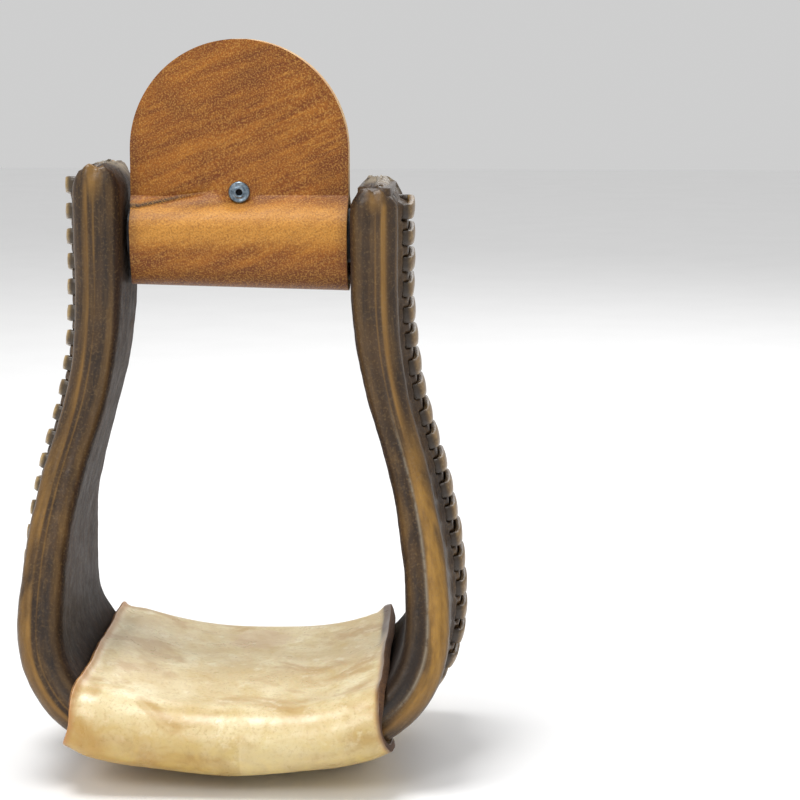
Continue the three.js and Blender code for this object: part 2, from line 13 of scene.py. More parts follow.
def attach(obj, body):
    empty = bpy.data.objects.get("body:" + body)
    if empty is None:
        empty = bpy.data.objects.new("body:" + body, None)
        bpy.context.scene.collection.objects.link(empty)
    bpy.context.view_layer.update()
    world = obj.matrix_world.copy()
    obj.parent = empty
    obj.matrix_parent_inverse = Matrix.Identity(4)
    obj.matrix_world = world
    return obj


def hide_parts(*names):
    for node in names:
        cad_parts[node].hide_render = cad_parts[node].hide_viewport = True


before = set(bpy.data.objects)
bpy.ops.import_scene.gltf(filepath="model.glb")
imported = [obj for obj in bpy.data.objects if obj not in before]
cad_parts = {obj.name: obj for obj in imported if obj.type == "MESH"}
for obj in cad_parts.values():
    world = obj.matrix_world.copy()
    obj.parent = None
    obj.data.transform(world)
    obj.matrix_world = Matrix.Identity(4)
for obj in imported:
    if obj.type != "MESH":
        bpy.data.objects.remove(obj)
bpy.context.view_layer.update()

MM = 0.001

# ---- Dimensions in millimetres, most of them as the CAD part has them ----

NECK_GAP = 77.8
LEG_TOP = 205.5  # lower than the CAD's, because the leather's folds stand up from here
NECK_DEPTH = 41.0
FOOT_DEPTH = 98.0
FLARE = 0.29
FLARE_TOP = 124.0
NECK_THICKNESS = 16.2
WAIST_THICKNESS = 13.8
FOOT_THICKNESS = 15.4
LEAN = math.radians(17)
NECK_END = 170.0
LEAN_TOP = 122.0
LEAN_END = 110.0
KNEE = 54.5
BOARD_MIDDLE = 19.0
BOARD_TOP = BOARD_MIDDLE + FOOT_THICKNESS / 2
CORNER_RADIUS = KNEE - BOARD_MIDDLE
NECK_X = (NECK_GAP + NECK_THICKNESS) / 2
BENDS_HEIGHT = NECK_END - LEAN_TOP + LEAN_END - KNEE
FOOT_X = NECK_X + BENDS_HEIGHT * math.tan(LEAN / 2) + (LEAN_TOP - LEAN_END) * math.tan(LEAN)
COVER_LEATHER = 2.4

RIDGE_RISE = 2.6
CROWN = 2.3  # how much lower the outer face is at its edges than in its middle
LACE_WIDTH = 5.4
LACE_THICKNESS = 2.0  # thicker than the CAD's, so that the bars stand proud
LACE_SPAN = 12.6
LACE_PITCH = 8.9
LACE_BARS = 22
LACE_SLANT = 2.6  # how much further down the seam a bar's lower end is
RIGHT_START = 10.6  # the topmost bar's middle, down the seam from the leg's top
LEFT_START = 3.9

SLEEVE_LEATHER = 4.4
SKIVED = 0.38  # the share of its thickness that is left at its thinned left end
SLEEVE_DEPTH = 111.0
SLEEVE_HALF_TOP = 51.5
SLEEVE_HALF_CORNER = 54.6
SLEEVE_HALF_BOTTOM = 62.3  # its front's lower corners splay past the CAD's
SLEEVE_TOP_CORNER = 14.0
SLEEVE_BOTTOM_CORNER = 11.0
KEEL_DROP = 5.6
KEEL_FLAT = 9.0
BUTT_GAP = 1.2

FLAP_HALF = 37.5
FLAP_TOP = 252.0
FLAP_LEATHER = 3.7
LOOP_RADIUS = 10.1
LOOP_BOTTOM = 172.3
CLOSE_START = 188.0
CLOSE_END = 198.6
RIVET_HEIGHT = 200.0

# The crease in the front of the bolt leather: level at the left edge, then rising to the right.
CREASE_LOW = 195.6
CREASE_RISE = 4.8
CREASE_START = -34.0
CREASE_STOP = -9.5
SECOND_CREASE = 193.6  # a fainter crease below it


# ---- Small helpers ----

def smooth(value, low, high):
    t = np.clip((np.asarray(value, float) - low) / (high - low), 0, 1)
    return t * t * (3 - 2 * t)


def bump(value, width):
    return np.exp(-(np.asarray(value, float) / width) ** 2)


def soft_max(a, b, softness):
    return (a + b + np.hypot(a - b, softness)) / 2


def soft_min(a, b, softness):
    return (a + b - np.hypot(a - b, softness)) / 2


def wander(points, size, octaves=2):
    """Smooth noise in -1..1 at each point, with features about size millimetres across."""
    values = [noise.fractal(Vector(p) / size, 0.6, 2.0, octaves) for p in points.reshape(-1, 3)]
    return np.array(values).reshape(points.shape[:-1])


def mesh_object(name, vertices, faces):
    mesh = bpy.data.meshes.new(name)
    mesh.from_pydata((vertices.reshape(-1, 3) * MM).tolist(), [], faces)
    mesh.validate()
    mesh.polygons.foreach_set("use_smooth", [True] * len(mesh.polygons))
    obj = bpy.data.objects.new(name, mesh)
    bpy.context.scene.collection.objects.link(obj)
    return obj


def grid_faces(rows, columns, wrap, start=0, flip=False):
    faces = []
    last = columns if wrap else columns - 1
    for r in range(rows - 1):
        for c in range(last):
            a = start + r * columns + c
            b = start + r * columns + (c + 1) % columns
            quad = (a, b, b + columns, a + columns)
            faces.append(quad[::-1] if flip else quad)
    return faces


def tube_faces(rows, columns, start=0, flip=False):
    """A closed tube's faces: its wall and its two ends."""
    first = tuple(range(start, start + columns))
    last = tuple(range(start + (rows - 1) * columns, start + rows * columns))
    ends = [first, last[::-1]] if flip else [first[::-1], last]
    return grid_faces(rows, columns, wrap=True, start=start, flip=flip) + ends


def paint(obj, name, values):
    """Stores one number a vertex, for the materials to read."""
    layer = obj.data.attributes.new(name, "FLOAT", "POINT")
    layer.data.foreach_set("value", np.asarray(values, np.float32).ravel())


def paint_flow(obj, along, across, out):
    """Stores a texture place in metres that runs with the leather, whichever way the piece bends."""
    layer = obj.data.attributes.new("flow", "FLOAT_VECTOR", "POINT")
    layer.data.foreach_set("vector", (np.stack([along, across, out], -1) * MM).astype(np.float32).ravel())


def modifier(obj, kind, **settings):
    added = obj.modifiers.new(kind.title(), kind)
    for key, value in settings.items():
        setattr(added, key, value)
    return added


def give_thickness(obj, leather, edge_radius, **solidify):
    modifier(obj, "SOLIDIFY", thickness=leather * MM, offset=0, use_even_offset=True,
             material_offset_rim=1, **solidify)
    modifier(obj, "BEVEL", width=edge_radius * MM, segments=3, limit_method="ANGLE",
             angle_limit=math.radians(50))


# ---- The bow's line ----

class BowLine:
    """The bow's middle line. s runs from the left leg's top, through 0 under the tread, to the right's."""

    def __init__(self):
        low_radius = (LEAN_END - KNEE) / math.sin(LEAN)
        high_radius = (NECK_END - LEAN_TOP) / math.sin(LEAN)
        runs = [
            (FOOT_X - CORNER_RADIUS, 0),
            (CORNER_RADIUS * math.pi / 2, 1 / CORNER_RADIUS),
            (low_radius * LEAN, 1 / low_radius),
            ((LEAN_TOP - LEAN_END) / math.cos(LEAN), 0),
            (high_radius * LEAN, -1 / high_radius),
            (LEG_TOP - NECK_END, 0),
        ]
        step = 0.05
        blur = 80  # steps that each change of bend is softened by, to either side
        window = 2 * blur + 1
        bend = np.concatenate([np.full(round(length / step), curve) for length, curve in runs])
        softened = np.convolve(np.pad(bend, blur, mode="edge"), np.ones(window) / window, mode="valid")
        heading = np.concatenate([[0], np.cumsum(softened) * step])
        x = np.concatenate([[0], np.cumsum(np.cos(heading[:-1])) * step])
        z = np.concatenate([[0], np.cumsum(np.sin(heading[:-1])) * step]) + BOARD_MIDDLE
        s = np.arange(len(x)) * step
        self.reach = s[-1]
        self.s = np.concatenate([-s[:0:-1], s])
        self.x = np.concatenate([-x[:0:-1], x])
        self.z = np.concatenate([z[:0:-1], z])
        self.heading = np.concatenate([-heading[:0:-1], heading])

    def at(self, s):
        """Middle points, outward normals and directions along the bow at each s."""
        s = np.asarray(s, float)
        heading = np.interp(s, self.s, self.heading)
        zero = np.zeros_like(s)
        point = np.stack([np.interp(s, self.s, self.x), zero, np.interp(s, self.s, self.z)], -1)
        normal = np.stack([np.sin(heading), zero, -np.cos(heading)], -1)
        along = np.stack([np.cos(heading), zero, np.sin(heading)], -1)
        return point, normal, along


bow = BowLine()


def half_depth(height):
    softness = 4
    flared = NECK_DEPTH / 2 + (FLARE_TOP - height) * FLARE
    return soft_min(soft_max(NECK_DEPTH / 2, flared, softness), FOOT_DEPTH / 2, softness)


def half_thickness(height):
    above = WAIST_THICKNESS + (NECK_THICKNESS - WAIST_THICKNESS) * smooth(height, LEAN_END, NECK_END)
    return (FOOT_THICKNESS + (above - FOOT_THICKNESS) * smooth(height, KNEE, LEAN_END)) / 2


def seam_distance_to_s(distances):
    """Turns distances down the seam, measured on the leather, into places on the right leg's line."""
    s = np.linspace(0, bow.reach, 1200)
    point, normal, _ = bow.at(s)
    surface = point + normal * (half_thickness(point[:, 2]) + RIDGE_RISE)[:, None]
    lengths = np.concatenate([[0], np.cumsum(np.linalg.norm(np.diff(surface, axis=0), axis=1))])
    return np.interp(lengths[-1] - np.asarray(distances, float), lengths, s)


def lace_bars(start):
    """For each visible bar, s at its higher and at its lower end, counted as on the right leg."""
    draw = random.Random(7)
    bars = []
    for i in range(LACE_BARS):
        middle = start + i * LACE_PITCH + draw.uniform(-0.25, 0.25)
        slant = LACE_SLANT / 2 + draw.uniform(-0.3, 0.3)
        high, low = seam_distance_to_s([middle - slant, middle + slant])
        bars.append((float(high), float(low)))
    return bars


RIGHT_BARS = lace_bars(RIGHT_START)
LEFT_BARS = lace_bars(LEFT_START)


# ---- Leather cover ----

EDGE_RADIUS = 4.8
LEAST_RADIUS = 0.4
LINING_RADIUS = 2.6
SEAM_ZONE = 11.0
ROUND_OVER = 6.5  # rounding of the leg's top, across its thickness
ROUND_OVER_DEPTH = 0.5  # the share of that rounding that its front and back edges get


def section_columns(seam_steps=67, face_steps=9, arc_steps=6, side_steps=11, inner_steps=14):
    """Columns of the cover's section. Each gives u = c0 + c1 * (a - r) + c2 * r across the leg and
    v = d1 * (b - r) + d2 * r outward, for half depth a, half thickness b and edge radius r. (c2, d2) is
    the way that the leather faces there."""
    rows = []
    for u in np.linspace(SEAM_ZONE, -SEAM_ZONE, seam_steps):
        rows.append((u, 0, 0, 1, 1))
    fractions = np.linspace(0, 1, face_steps + 1)[1:]
    for f in fractions:
        rows.append((-SEAM_ZONE * (1 - f), -f, 0, 1, 1))
    for angle in np.linspace(math.pi / 2, math.pi, arc_steps + 1)[1:]:
        rows.append((0, -1, math.cos(angle), 1, math.sin(angle)))
    for f in np.linspace(1, -1, side_steps + 2)[1:-1]:
        rows.append((0, -1, -1, f, 0))
    for angle in np.linspace(math.pi, math.pi * 1.5, arc_steps + 1):
        rows.append((0, -1, math.cos(angle), -1, math.sin(angle)))
    for f in np.linspace(-1, 1, inner_steps + 2)[1:-1]:
        rows.append((0, f, 0, -1, -1))
    for angle in np.linspace(-math.pi / 2, 0, arc_steps + 1):
        rows.append((0, 1, math.cos(angle), -1, math.sin(angle)))
    for f in np.linspace(-1, 1, side_steps + 2)[1:-1]:
        rows.append((0, 1, 1, f, 0))
    for angle in np.linspace(0, math.pi / 2, arc_steps + 1)[:-1]:
        rows.append((0, 1, math.cos(angle), 1, math.sin(angle)))
    for f in fractions[::-1]:
        rows.append((SEAM_ZONE * (1 - f), f, 0, 1, 1))
    return np.array(rows)


def section_points(columns, a, b, r):
    """u and v of every column for each half depth a, half thickness b and edge radius r."""
    c0, c1, c2, d1, d2 = columns.T
    a, b, r = (np.asarray(value, float)[:, None] for value in (a, b, r))
    return c0 + c1 * (a - r) + c2 * r, d1 * (b - r) + d2 * r


PIT_DEPTH = 2.6  # where the lace goes into its slits
LIP_HEIGHT = 0.9  # of the leather outside each slit
PUFF = 0.3  # how far the leather swells between the bars
LINE_INSET = 7.2  # from a leg's front or back edge to the moulded line in its outer face
RIB_INSET = 4.6
LEFT_LIFT = 2.4
RIGHT_DROP = 3.6


def seam_relief(s, u):
    """How far the leather stands out near the laced seam, and how much painted shade darkens its slot and
    the pits in it (0..1).
    """
    half = LACE_SPAN / 2
    laced, pressed, pits, lips = (np.zeros_like(u) for _ in range(4))
    for side, bars in ((1, RIGHT_BARS), (-1, LEFT_BARS)):
        down, across = s * side, u * side
        span = smooth(down, bars[-1][1] - 5, bars[-1][1] + 2) * smooth(down, bars[0][0] + 9, bars[0][0] + 4)
        laced = np.maximum(laced, span)
        for high, low in bars:
            line = (high + low) / 2 + (high - low) / 2 * np.clip(across / half, -1, 1)
            pressed = np.maximum(pressed, bump(down - line, 3.1))
            for place, sign in ((high, 1), (low, -1)):
                past = sign * across - half
                along = down - place
                beside = smooth(np.abs(along), LACE_WIDTH / 2 + 0.6, LACE_WIDTH / 2 - 0.9)
                pits = np.maximum(pits, beside * bump(past - 0.25, 1.25))
                lips = np.maximum(lips, bump(past - 2.2, 0.8) * bump(along - 0.8, 3.4))
    near = smooth(np.abs(u), half + 2.5, half - 1.5)
    puff = near * laced * PUFF * (1 - pressed)
    slot = 1 - smooth(np.abs(u), 0.3, 1.1)
    height = RIDGE_RISE * smooth(np.abs(u), SEAM_ZONE - 0.8, 5.4) + puff - slot * (0.7 + 0.9 * laced)
    height = height - PIT_DEPTH * pits + LIP_HEIGHT * lips
    return height, np.maximum(slot * (0.5 + 0.5 * laced), pits)


def face_relief(u, a):
    """The outer face's crown, with a moulded line a little inside its front and back edges."""
    inset = a - np.abs(u)
    crown = -CROWN * np.clip(np.abs(u) / a, 0, 1) ** 2.2
    return crown - 0.45 * bump(inset - LINE_INSET, 0.9) + 0.4 * bump(inset - RIB_INSET, 1.6)


def leg_lift(points, a):
    """The left leg stands a little taller than the right one, most of all at its front."""
    toward_back = points[..., 1] / a
    left, right = LEFT_LIFT - 1.5 * toward_back, -RIGHT_DROP + 0.6 * toward_back
    return np.where(points[..., 0] < 0, left, right) * smooth(points[..., 2], 186, 206)


def top_fold(u, v, a, points):
    """Relief of a leg's folded top, along Z, where v runs from the inner side out to the seam side."""
    rise = 1.3 * smooth(u, -a + 4, a - 5) * smooth(np.abs(v), 7.6, 3)
    lap = 0.9 * smooth(v, 4.2, 3.0) * smooth(v, -7.5, -5)
    tucks = -0.9 * bump(np.abs(u) - (a - 6.5) + (v + 1) * 0.8, 0.7) * smooth(v, -6.5, -3)
    crumple = 0.9 * wander(points, 5.5, 4) + 0.35 * np.sin(u * 1.1 + v * 1.4) * smooth(np.abs(u), 2, 12)
    return rise + lap + tucks + crumple


def cover_stations():
    """s for each row of the cover's skin, and how far the row is drawn in to round a leg's top."""
    quarter = np.linspace(0, math.pi / 2, 8)[1:]
    across_top = np.linspace(ROUND_OVER, NECK_THICKNESS / 2 - 0.5, 7)[1:]
    insets = np.concatenate([ROUND_OVER * (1 - np.cos(quarter)), across_top])
    lifts = np.concatenate([ROUND_OVER * np.sin(quarter), np.full(len(across_top), ROUND_OVER)])
    body_end = bow.reach - ROUND_OVER
    body_s = np.linspace(-body_end, body_end, 760)
    s = np.concatenate([-(body_end + lifts)[::-1], body_s, body_end + lifts])
    return s, np.concatenate([insets[::-1], np.zeros(len(body_s)), insets])


def cover_skin():
    """The cover's outer skin as a grid, smooth so far: a row for each station, a column for each section
    point. Level runs across the leg's thickness, from -1 at its inner face to 1 at its outer face."""
    columns = section_columns()
    s, inset = cover_stations()
    point, normal, _ = bow.at(s)
    a, b = half_depth(point[:, 2]), half_thickness(point[:, 2])
    radius = np.maximum(EDGE_RADIUS - inset, LEAST_RADIUS)
    u, v = section_points(columns, a - inset * ROUND_OVER_DEPTH, b - inset, radius)
    base = point[:, None, :] + normal[:, None, :] * v[..., None]
    base[..., 1] = u
    sideways, outward = columns[:, 2], columns[:, 4]
    direction = normal[:, None, :] * outward[None, :, None]
    direction = direction + np.array([0, 1, 0]) * sideways[None, :, None]
    full_s = s[:, None] + 0 * u
    return SimpleNamespace(
        s=full_s, u=u, v=v, a=a[:, None] + 0 * u, b=b[:, None], level=v / b[:, None],
        base=base, height=base[..., 2], on_right=base[..., 0] > 0, direction=direction,
        sides=np.abs(sideways)[None, :], outward=outward[None, :],
        outer_face=((columns[:, 3] == 1) & (outward == 1))[None, :],
        inner_face=(outward < -0.5)[None, :],
        body=(inset == 0)[:, None], rounding=(inset < ROUND_OVER)[:, None],
        over=smooth(np.abs(full_s), bow.reach - ROUND_OVER, bow.reach - 0.5),
    )


def cover_relief(skin):
    """How far each point of the skin stands out, and the painted shade in the seam's slot and pits."""
    seam, dark = seam_relief(skin.s, skin.u)
    seam = seam * smooth(bow.reach - np.abs(skin.s), 1, 4)
    push = np.where(skin.outer_face, np.where(skin.body, seam, 0) + face_relief(skin.u, skin.a), 0)
    push = push + 0.42 * wander(skin.base, 26) + 0.12 * wander(skin.base + 90, 5)
    level = skin.level
    worn = 0.3 * bump(level - 0.45, 0.16) - 0.45 * bump(level - 0.76, 0.07) - 0.4 * bump(level + 0.1, 0.22)
    push = push + np.where(skin.body, worn * (skin.sides > 0.9), 0)
    return push * skin.rounding, dark * skin.outer_face * skin.body


# Pale lines along a leg's front and back, part rubbed wear and part painted highlight on its ridges: level,
# width and strength.
RUBBED_AND_LIT_LINES = [(0.38, 0.07, 1.0), (0.45, 0.25, 0.35), (0.93, 0.07, 0.8), (0.06, 0.05, 0.5)]


def cover_wear_and_light(skin, fold):
    """Where the leather is rubbed, with painted highlight along its ridges, where it is scuffed, and where
    painted shade darkens it, each from 0 to 1.
    """
    level, height, sides = skin.level, skin.height, skin.sides
    corner = sides * (skin.outward > -0.2) * (skin.outward < 0.985)
    lines = sum(strength * bump(level - place, width) for place, width, strength in RUBBED_AND_LIT_LINES)
    rub_and_sheen = np.clip(corner * lines, 0, 1)
    # Painted highlight: a pale line along each leg's front and back near its inner edge.
    rub_and_sheen = np.maximum(rub_and_sheen, 0.45 * sides * bump(skin.v + skin.b * 0.75, 2.4))
    low_down = smooth(height, 140, 95) * smooth(height, 12, 40)
    band_start = np.where(skin.on_right, -0.05, 0.35)
    band = smooth(level - band_start, 0, 0.25) * smooth(level, 1.02, 0.85) * np.where(skin.on_right, 1, 0.75)
    rub_and_sheen = np.maximum(rub_and_sheen, band * low_down * sides)
    near_edge = 0.55 * smooth(skin.a - np.abs(skin.u), 9, 3) * skin.outer_face
    # Painted highlight on the rounded shoulder where a leg's front folds over its top.
    shoulder = 0.7 * smooth(height, 192, 202) * sides * bump(level - 0.1, 0.45)
    rub_and_sheen = np.maximum(np.maximum(rub_and_sheen, near_edge) * (1 - skin.over), shoulder)
    band_edge = 0.9 * skin.on_right * low_down * sides * bump(level - band_start - 0.06, 0.06)
    scuff = np.maximum(skin.over * smooth(fold + 0.1 * skin.u, 0.4, 2.4), band_edge)
    # Painted shade: the legs' inner faces, and the inner half of their fronts, darken low down near the
    # sleeve, where they lie in shadow.
    painted_shade = np.maximum(sides * smooth(level, 0.0, -0.3), skin.inner_face)
    painted_shade = painted_shade * smooth(height, 80, 45) * np.where(skin.on_right, 1, 0.6)
    return rub_and_sheen, scuff, painted_shade


def cover_lining():
    """The cover's inner skin, against the wood."""
    s = np.linspace(-bow.reach + 3, bow.reach - 3, 70)
    point, normal, _ = bow.at(s)
    wide = half_depth(point[:, 2]) - COVER_LEATHER
    thick = half_thickness(point[:, 2]) - COVER_LEATHER
    u, v = section_points(section_columns(5, 3, 3, 1, 4), wide, thick, np.full(len(wide), LINING_RADIUS))
    verts = point[:, None, :] + normal[:, None, :] * v[..., None]
    verts[..., 1] = u
    return verts


def make_cover():
    skin = cover_skin()
    push, pit = cover_relief(skin)
    fold = top_fold(skin.u, skin.v, skin.a, skin.base)
    verts = skin.base + skin.direction * push[..., None]
    verts[..., 2] += skin.over * fold + leg_lift(skin.base, skin.a)
    inner_side = cover_lining()
    faces = tube_faces(*skin.u.shape)
    faces += tube_faces(*inner_side.shape[:2], start=skin.u.size, flip=True)
    obj = mesh_object("cover", np.concatenate([verts.reshape(-1, 3), inner_side.reshape(-1, 3)]), faces)
    blank = np.zeros(inner_side[..., 0].size)
    rub_and_sheen, scuff, painted_shade = cover_wear_and_light(skin, fold)
    inside = skin.inner_face + 0 * skin.u
    for name, values in (("rub_and_sheen", rub_and_sheen), ("scuff", scuff), ("painted_shade", painted_shade), ("pit", pit), ("inside", inside)):
        paint(obj, name, np.concatenate([values.ravel(), blank]))
    paint_flow(obj, *(np.concatenate([part.ravel(), blank]) for part in (skin.s, skin.u, skin.v)))
    return obj


# ---- Lacing ----

def catmull(points, steps):
    """A smooth curve through points, as positions."""
    padded = np.vstack([2 * points[0] - points[1], points, 2 * points[-1] - points[-2]])
    t = np.linspace(0, 1, steps, endpoint=False)[:, None]
    out = []
    for i in range(1, len(padded) - 2):
        p0, p1, p2, p3 = padded[i - 1:i + 3]
        out.append(0.5 * (2 * p1 + (p2 - p0) * t + (2 * p0 - 5 * p1 + 4 * p2 - p3) * t ** 2
                          + (3 * p1 - p0 - 3 * p2 + p3) * t ** 3))
    return np.vstack(out + [points[-1][None, :]])


LACE_ABOVE = RIDGE_RISE - 0.3 + LACE_THICKNESS / 2
LACE_BELOW = RIDGE_RISE - COVER_LEATHER - 0.35 - LACE_THICKNESS / 2
LACE_DOME = 0.16
LACE_SQUARENESS = 0.72


def lace_route(bars, draw):
    """The thong's middle line through the slits: over the seam, in, back under it and out again.
    Each point is s along the bow, its place across the seam and its height."""
    half = LACE_SPAN / 2
    edge = LACE_ABOVE - 0.35
    out_of_slit = [
        (half - 1.6, LACE_BELOW), (half + 0.15, LACE_BELOW + 1.2),
        (half + 0.25, edge - 0.7), (half - 0.8, edge + 0.25),
    ]
    route = []
    for high, low in bars:
        crown = LACE_ABOVE + draw.uniform(0.25, 0.6)
        middle = (high + low) / 2 + draw.uniform(-0.25, 0.25)
        route += [(high, across, height) for across, height in out_of_slit]
        route.append((high * 0.75 + low * 0.25, half * 0.5, crown))
        route.append((middle, 0, crown + 0.1))
        route.append((high * 0.25 + low * 0.75, -half * 0.5, crown))
        route += [(low, -across, height) for across, height in out_of_slit[::-1]]
    return np.array(route)


def lace_ring(sides=16):
    """The thong's section as a circle pushed out towards a square, with half width and half height 1."""
    ring = []
    for angle in np.linspace(0, 2 * math.pi, sides + 1)[:-1]:
        square = 1 / max(abs(math.cos(angle)), abs(math.sin(angle)))
        reach = LACE_SQUARENESS * square + 1 - LACE_SQUARENESS
        ring.append((math.cos(angle) * reach, math.sin(angle) * reach))
    return np.array(ring)


def make_lace(name, bars, seed, turned):
    """One flat thong down a leg's seam. The left leg's is turned half way round the bow's upright axis."""
    line = catmull(lace_route(bars, random.Random(seed)), 5)
    s, across, height = line.T[..., None]
    step = np.gradient(line, axis=0)
    turn = step[:, 1:] / np.linalg.norm(step[:, 1:], axis=1, keepdims=True)
    ring = lace_ring()
    wobble = wander(np.stack([line[:, 0], line[:, 1] * 0.3, np.full(len(line), float(seed))], -1), 6)
    wide = LACE_WIDTH / 2 * (0.985 + 0.07 * wobble)
    shift = ring[None, :, 0] * wide[:, None]
    lift = ring[None, :, 1] * LACE_THICKNESS / 2 + LACE_DOME * (1 - ring[None, :, 0] ** 2)
    point, normal, along = bow.at(s + 0 * shift)
    level = half_thickness(point[..., 2]) + height - lift * turn[:, :1]
    verts = point + normal * level[..., None] + along * shift[..., None]
    verts[..., 1] = across + lift * turn[:, 1:]
    if turned:
        verts[..., :2] *= -1
    obj = mesh_object(name, verts, tube_faces(*shift.shape))
    paint(obj, "crown", smooth(height, LACE_ABOVE - 1.2, LACE_ABOVE + 0.3) + 0 * shift)
    paint(obj, "edge", np.abs(ring[None, :, 0]) ** 4 + 0 * shift)
    return obj


# ---- Tread sleeve ----

def board_height(x, distance, side):
    """Height over X of the footboard's surface, at a distance from the bow's middle line."""
    past = np.maximum(0, np.abs(x) - (FOOT_X - CORNER_RADIUS))
    radius = CORNER_RADIUS - side * distance
    return KNEE - np.sqrt(np.maximum(radius ** 2 - past ** 2, 0))


def sleeve_section(half_wide, top, bottom, keel, inset):
    """Half of the sleeve's mid-line in the YZ plane, from the joint under the tread to the top's middle."""
    points = [(BUTT_GAP / 2, keel), (KEEL_FLAT * 0.5, keel + 0.02), (KEEL_FLAT, keel + 0.12)]
    lower, upper = SLEEVE_BOTTOM_CORNER - inset, SLEEVE_TOP_CORNER - inset
    run = half_wide - lower
    for f in (0.25, 0.5, 0.75):
        points.append((KEEL_FLAT + (run - KEEL_FLAT) * f, keel + (bottom - keel) * f))
    for angle in np.linspace(0, math.pi / 2, 8):
        points.append((run + lower * math.sin(angle), bottom + lower * (1 - math.cos(angle))))
    run = half_wide - upper
    for angle in np.linspace(0, math.pi / 2, 9):
        points.append((run + upper * math.cos(angle), top - upper * (1 - math.sin(angle))))
    for f in (0.8, 0.6, 0.4, 0.2, 0.0):
        points.append((run * f, top))
    return np.array(points)


def even_line(points, count):
    lengths = np.concatenate([[0], np.cumsum(np.linalg.norm(np.diff(points, axis=0), axis=1))])
    spots = np.linspace(0, lengths[-1], count)
    return np.stack([np.interp(spots, lengths, points[:, i]) for i in range(points.shape[1])], -1)


FIT_GAP = 0.5
FIT_RISE = 0.2
END_RISE = 9.6  # how far the tread's top bows up at its ends
LOW_TAPER = 8.5  # how much narrower to each side the underside is than the front's lower edge
EXTRA_LEFT = 0.5
FRONT_SLOPE = 2.7
BACK_RISE = 1.7
CURL_RISE = 2.4
CURL_IN = 1.8
CORNER_DIP = 3.2
SPLAY = 2.0


def tread_top(z):
    """1 on the sleeve's top and 0 below it."""
    return smooth(z, 24, 31)


def sleeve_ring(f):
    """The sleeve's mid-line round the footboard in the YZ plane, for f from -1 at its left end to 1."""
    half_leather = SLEEVE_LEATHER / 2
    above = FOOT_THICKNESS / 2 + half_leather + FIT_GAP
    middle_top = float(board_height(0, above, 1)) + FIT_RISE
    fitted_top = float(board_height(f * SLEEVE_HALF_TOP, above, 1)) + FIT_RISE
    bowed = END_RISE * abs(f) ** (2 if f < 0 else 3)
    top = middle_top + float(soft_max(fitted_top - middle_top, bowed, 1))
    board_bottom = float(board_height(f * SLEEVE_HALF_CORNER, FOOT_THICKNESS / 2, -1))
    keel = board_bottom - (BOARD_MIDDLE - FOOT_THICKNESS / 2) + half_leather
    drop = KEEL_DROP + 7.5 * abs(f) ** 1.4 - 5 * abs(f) ** 5
    half_wide = SLEEVE_DEPTH / 2 - half_leather
    side = even_line(sleeve_section(half_wide, top, keel + drop, keel, half_leather), 90)
    return np.concatenate([side * [-1, 1], side[::-1][1:]])


def sleeve_verts(across, y, z):
    """Spreads the rings along X, slopes the top to the front, curls up its back and splays its left end."""
    level = soft_min(z / BOARD_TOP, 1.0, 0.12)
    half_low = SLEEVE_HALF_BOTTOM - EXTRA_LEFT * np.sign(across) - LOW_TAPER * smooth(y, -48, -12)
    x = across * (half_low + (SLEEVE_HALF_TOP - half_low) * level)
    verts = np.stack([x, y, z], -1)
    on_top = tread_top(z)
    curl = on_top * smooth(y, 25, 52) * smooth(across, 0.86, 1.0)
    drift = 0.15 * wander(verts, 30) * smooth(z, 16, 28)
    verts[..., 2] += drift + BACK_RISE * on_top * smooth(y, 0, 50) + CURL_RISE * curl
    verts[..., 2] -= FRONT_SLOPE * smooth(y, -4, -44) * smooth(z, 12, 26)
    verts[..., 2] -= CORNER_DIP * on_top * smooth(y, 20, 50) * smooth(across, 0.94, 1.02)
    verts[..., 0] -= SPLAY * smooth(y, -38, -54) * smooth(-across, 0.3, 1.0)
    uneven = 0.5 * wander(verts * [0.2, 1, 1] + 40, 18) * smooth(np.abs(across), 0.86, 1.0)
    verts[..., 0] += uneven * np.sign(across) - CURL_IN * curl
    return verts


def make_sleeve():
    shares = np.linspace(-1, 1, 121)
    rings = np.array([sleeve_ring(f) for f in shares])
    across, y, z = shares[:, None], rings[..., 0], rings[..., 1]
    rows, cols = y.shape
    obj = mesh_object("sleeve", sleeve_verts(across, y, z), grid_faces(rows, cols, wrap=False))
    back_end = smooth(across, 0.925, 0.95) * smooth(y, -10, 20) * tread_top(z)
    paint(obj, "run", np.linspace(-1, 1, cols)[None, :] + 0 * y)
    paint(obj, "end", np.abs(across) + 0 * y)
    paint(obj, "rolled", np.maximum(back_end, smooth(across, 0.975, 0.99)))
    thinned = smooth(shares, -0.82, -1.0) + 0.6 * smooth(shares, 0.82, 1.0)
    body = obj.vertex_groups.new(name="body")
    for i, weight in enumerate(1 - thinned):
        body.add(list(range(i * cols, (i + 1) * cols)), float(weight), "REPLACE")
    give_thickness(obj, SLEEVE_LEATHER, 0.5, vertex_group="body", thickness_vertex_group=SKIVED)
    return obj


# ---- Bolt leather ----

LAYER_GAP = 0.1  # from the joined layers' inner faces to the plane between them


def strap_line():
    """The back half of the strap's mid-line in the YZ plane, from the loop's bottom to the round top."""
    centre = LOOP_BOTTOM + LOOP_RADIUS
    quarter = np.linspace(0, math.pi / 2, 18)
    inner = [(LOOP_RADIUS * math.sin(t), centre - LOOP_RADIUS * math.cos(t)) for t in quarter]
    for height in np.linspace(centre + 1, CLOSE_END + 3, 26):
        closed = float(smooth(height, CLOSE_START, CLOSE_END))
        inner.append((LOOP_RADIUS + (LAYER_GAP - LOOP_RADIUS) * closed, height))
    inner.append((LAYER_GAP, FLAP_TOP - FLAP_HALF))
    inner = np.array(inner)
    run = np.gradient(inner, axis=0)
    run /= np.linalg.norm(run, axis=1, keepdims=True)
    middle = inner + np.stack([run[:, 1], -run[:, 0]], -1) * (FLAP_LEATHER / 2)
    middle[0, 0] = 0
    return even_line(middle, 130)


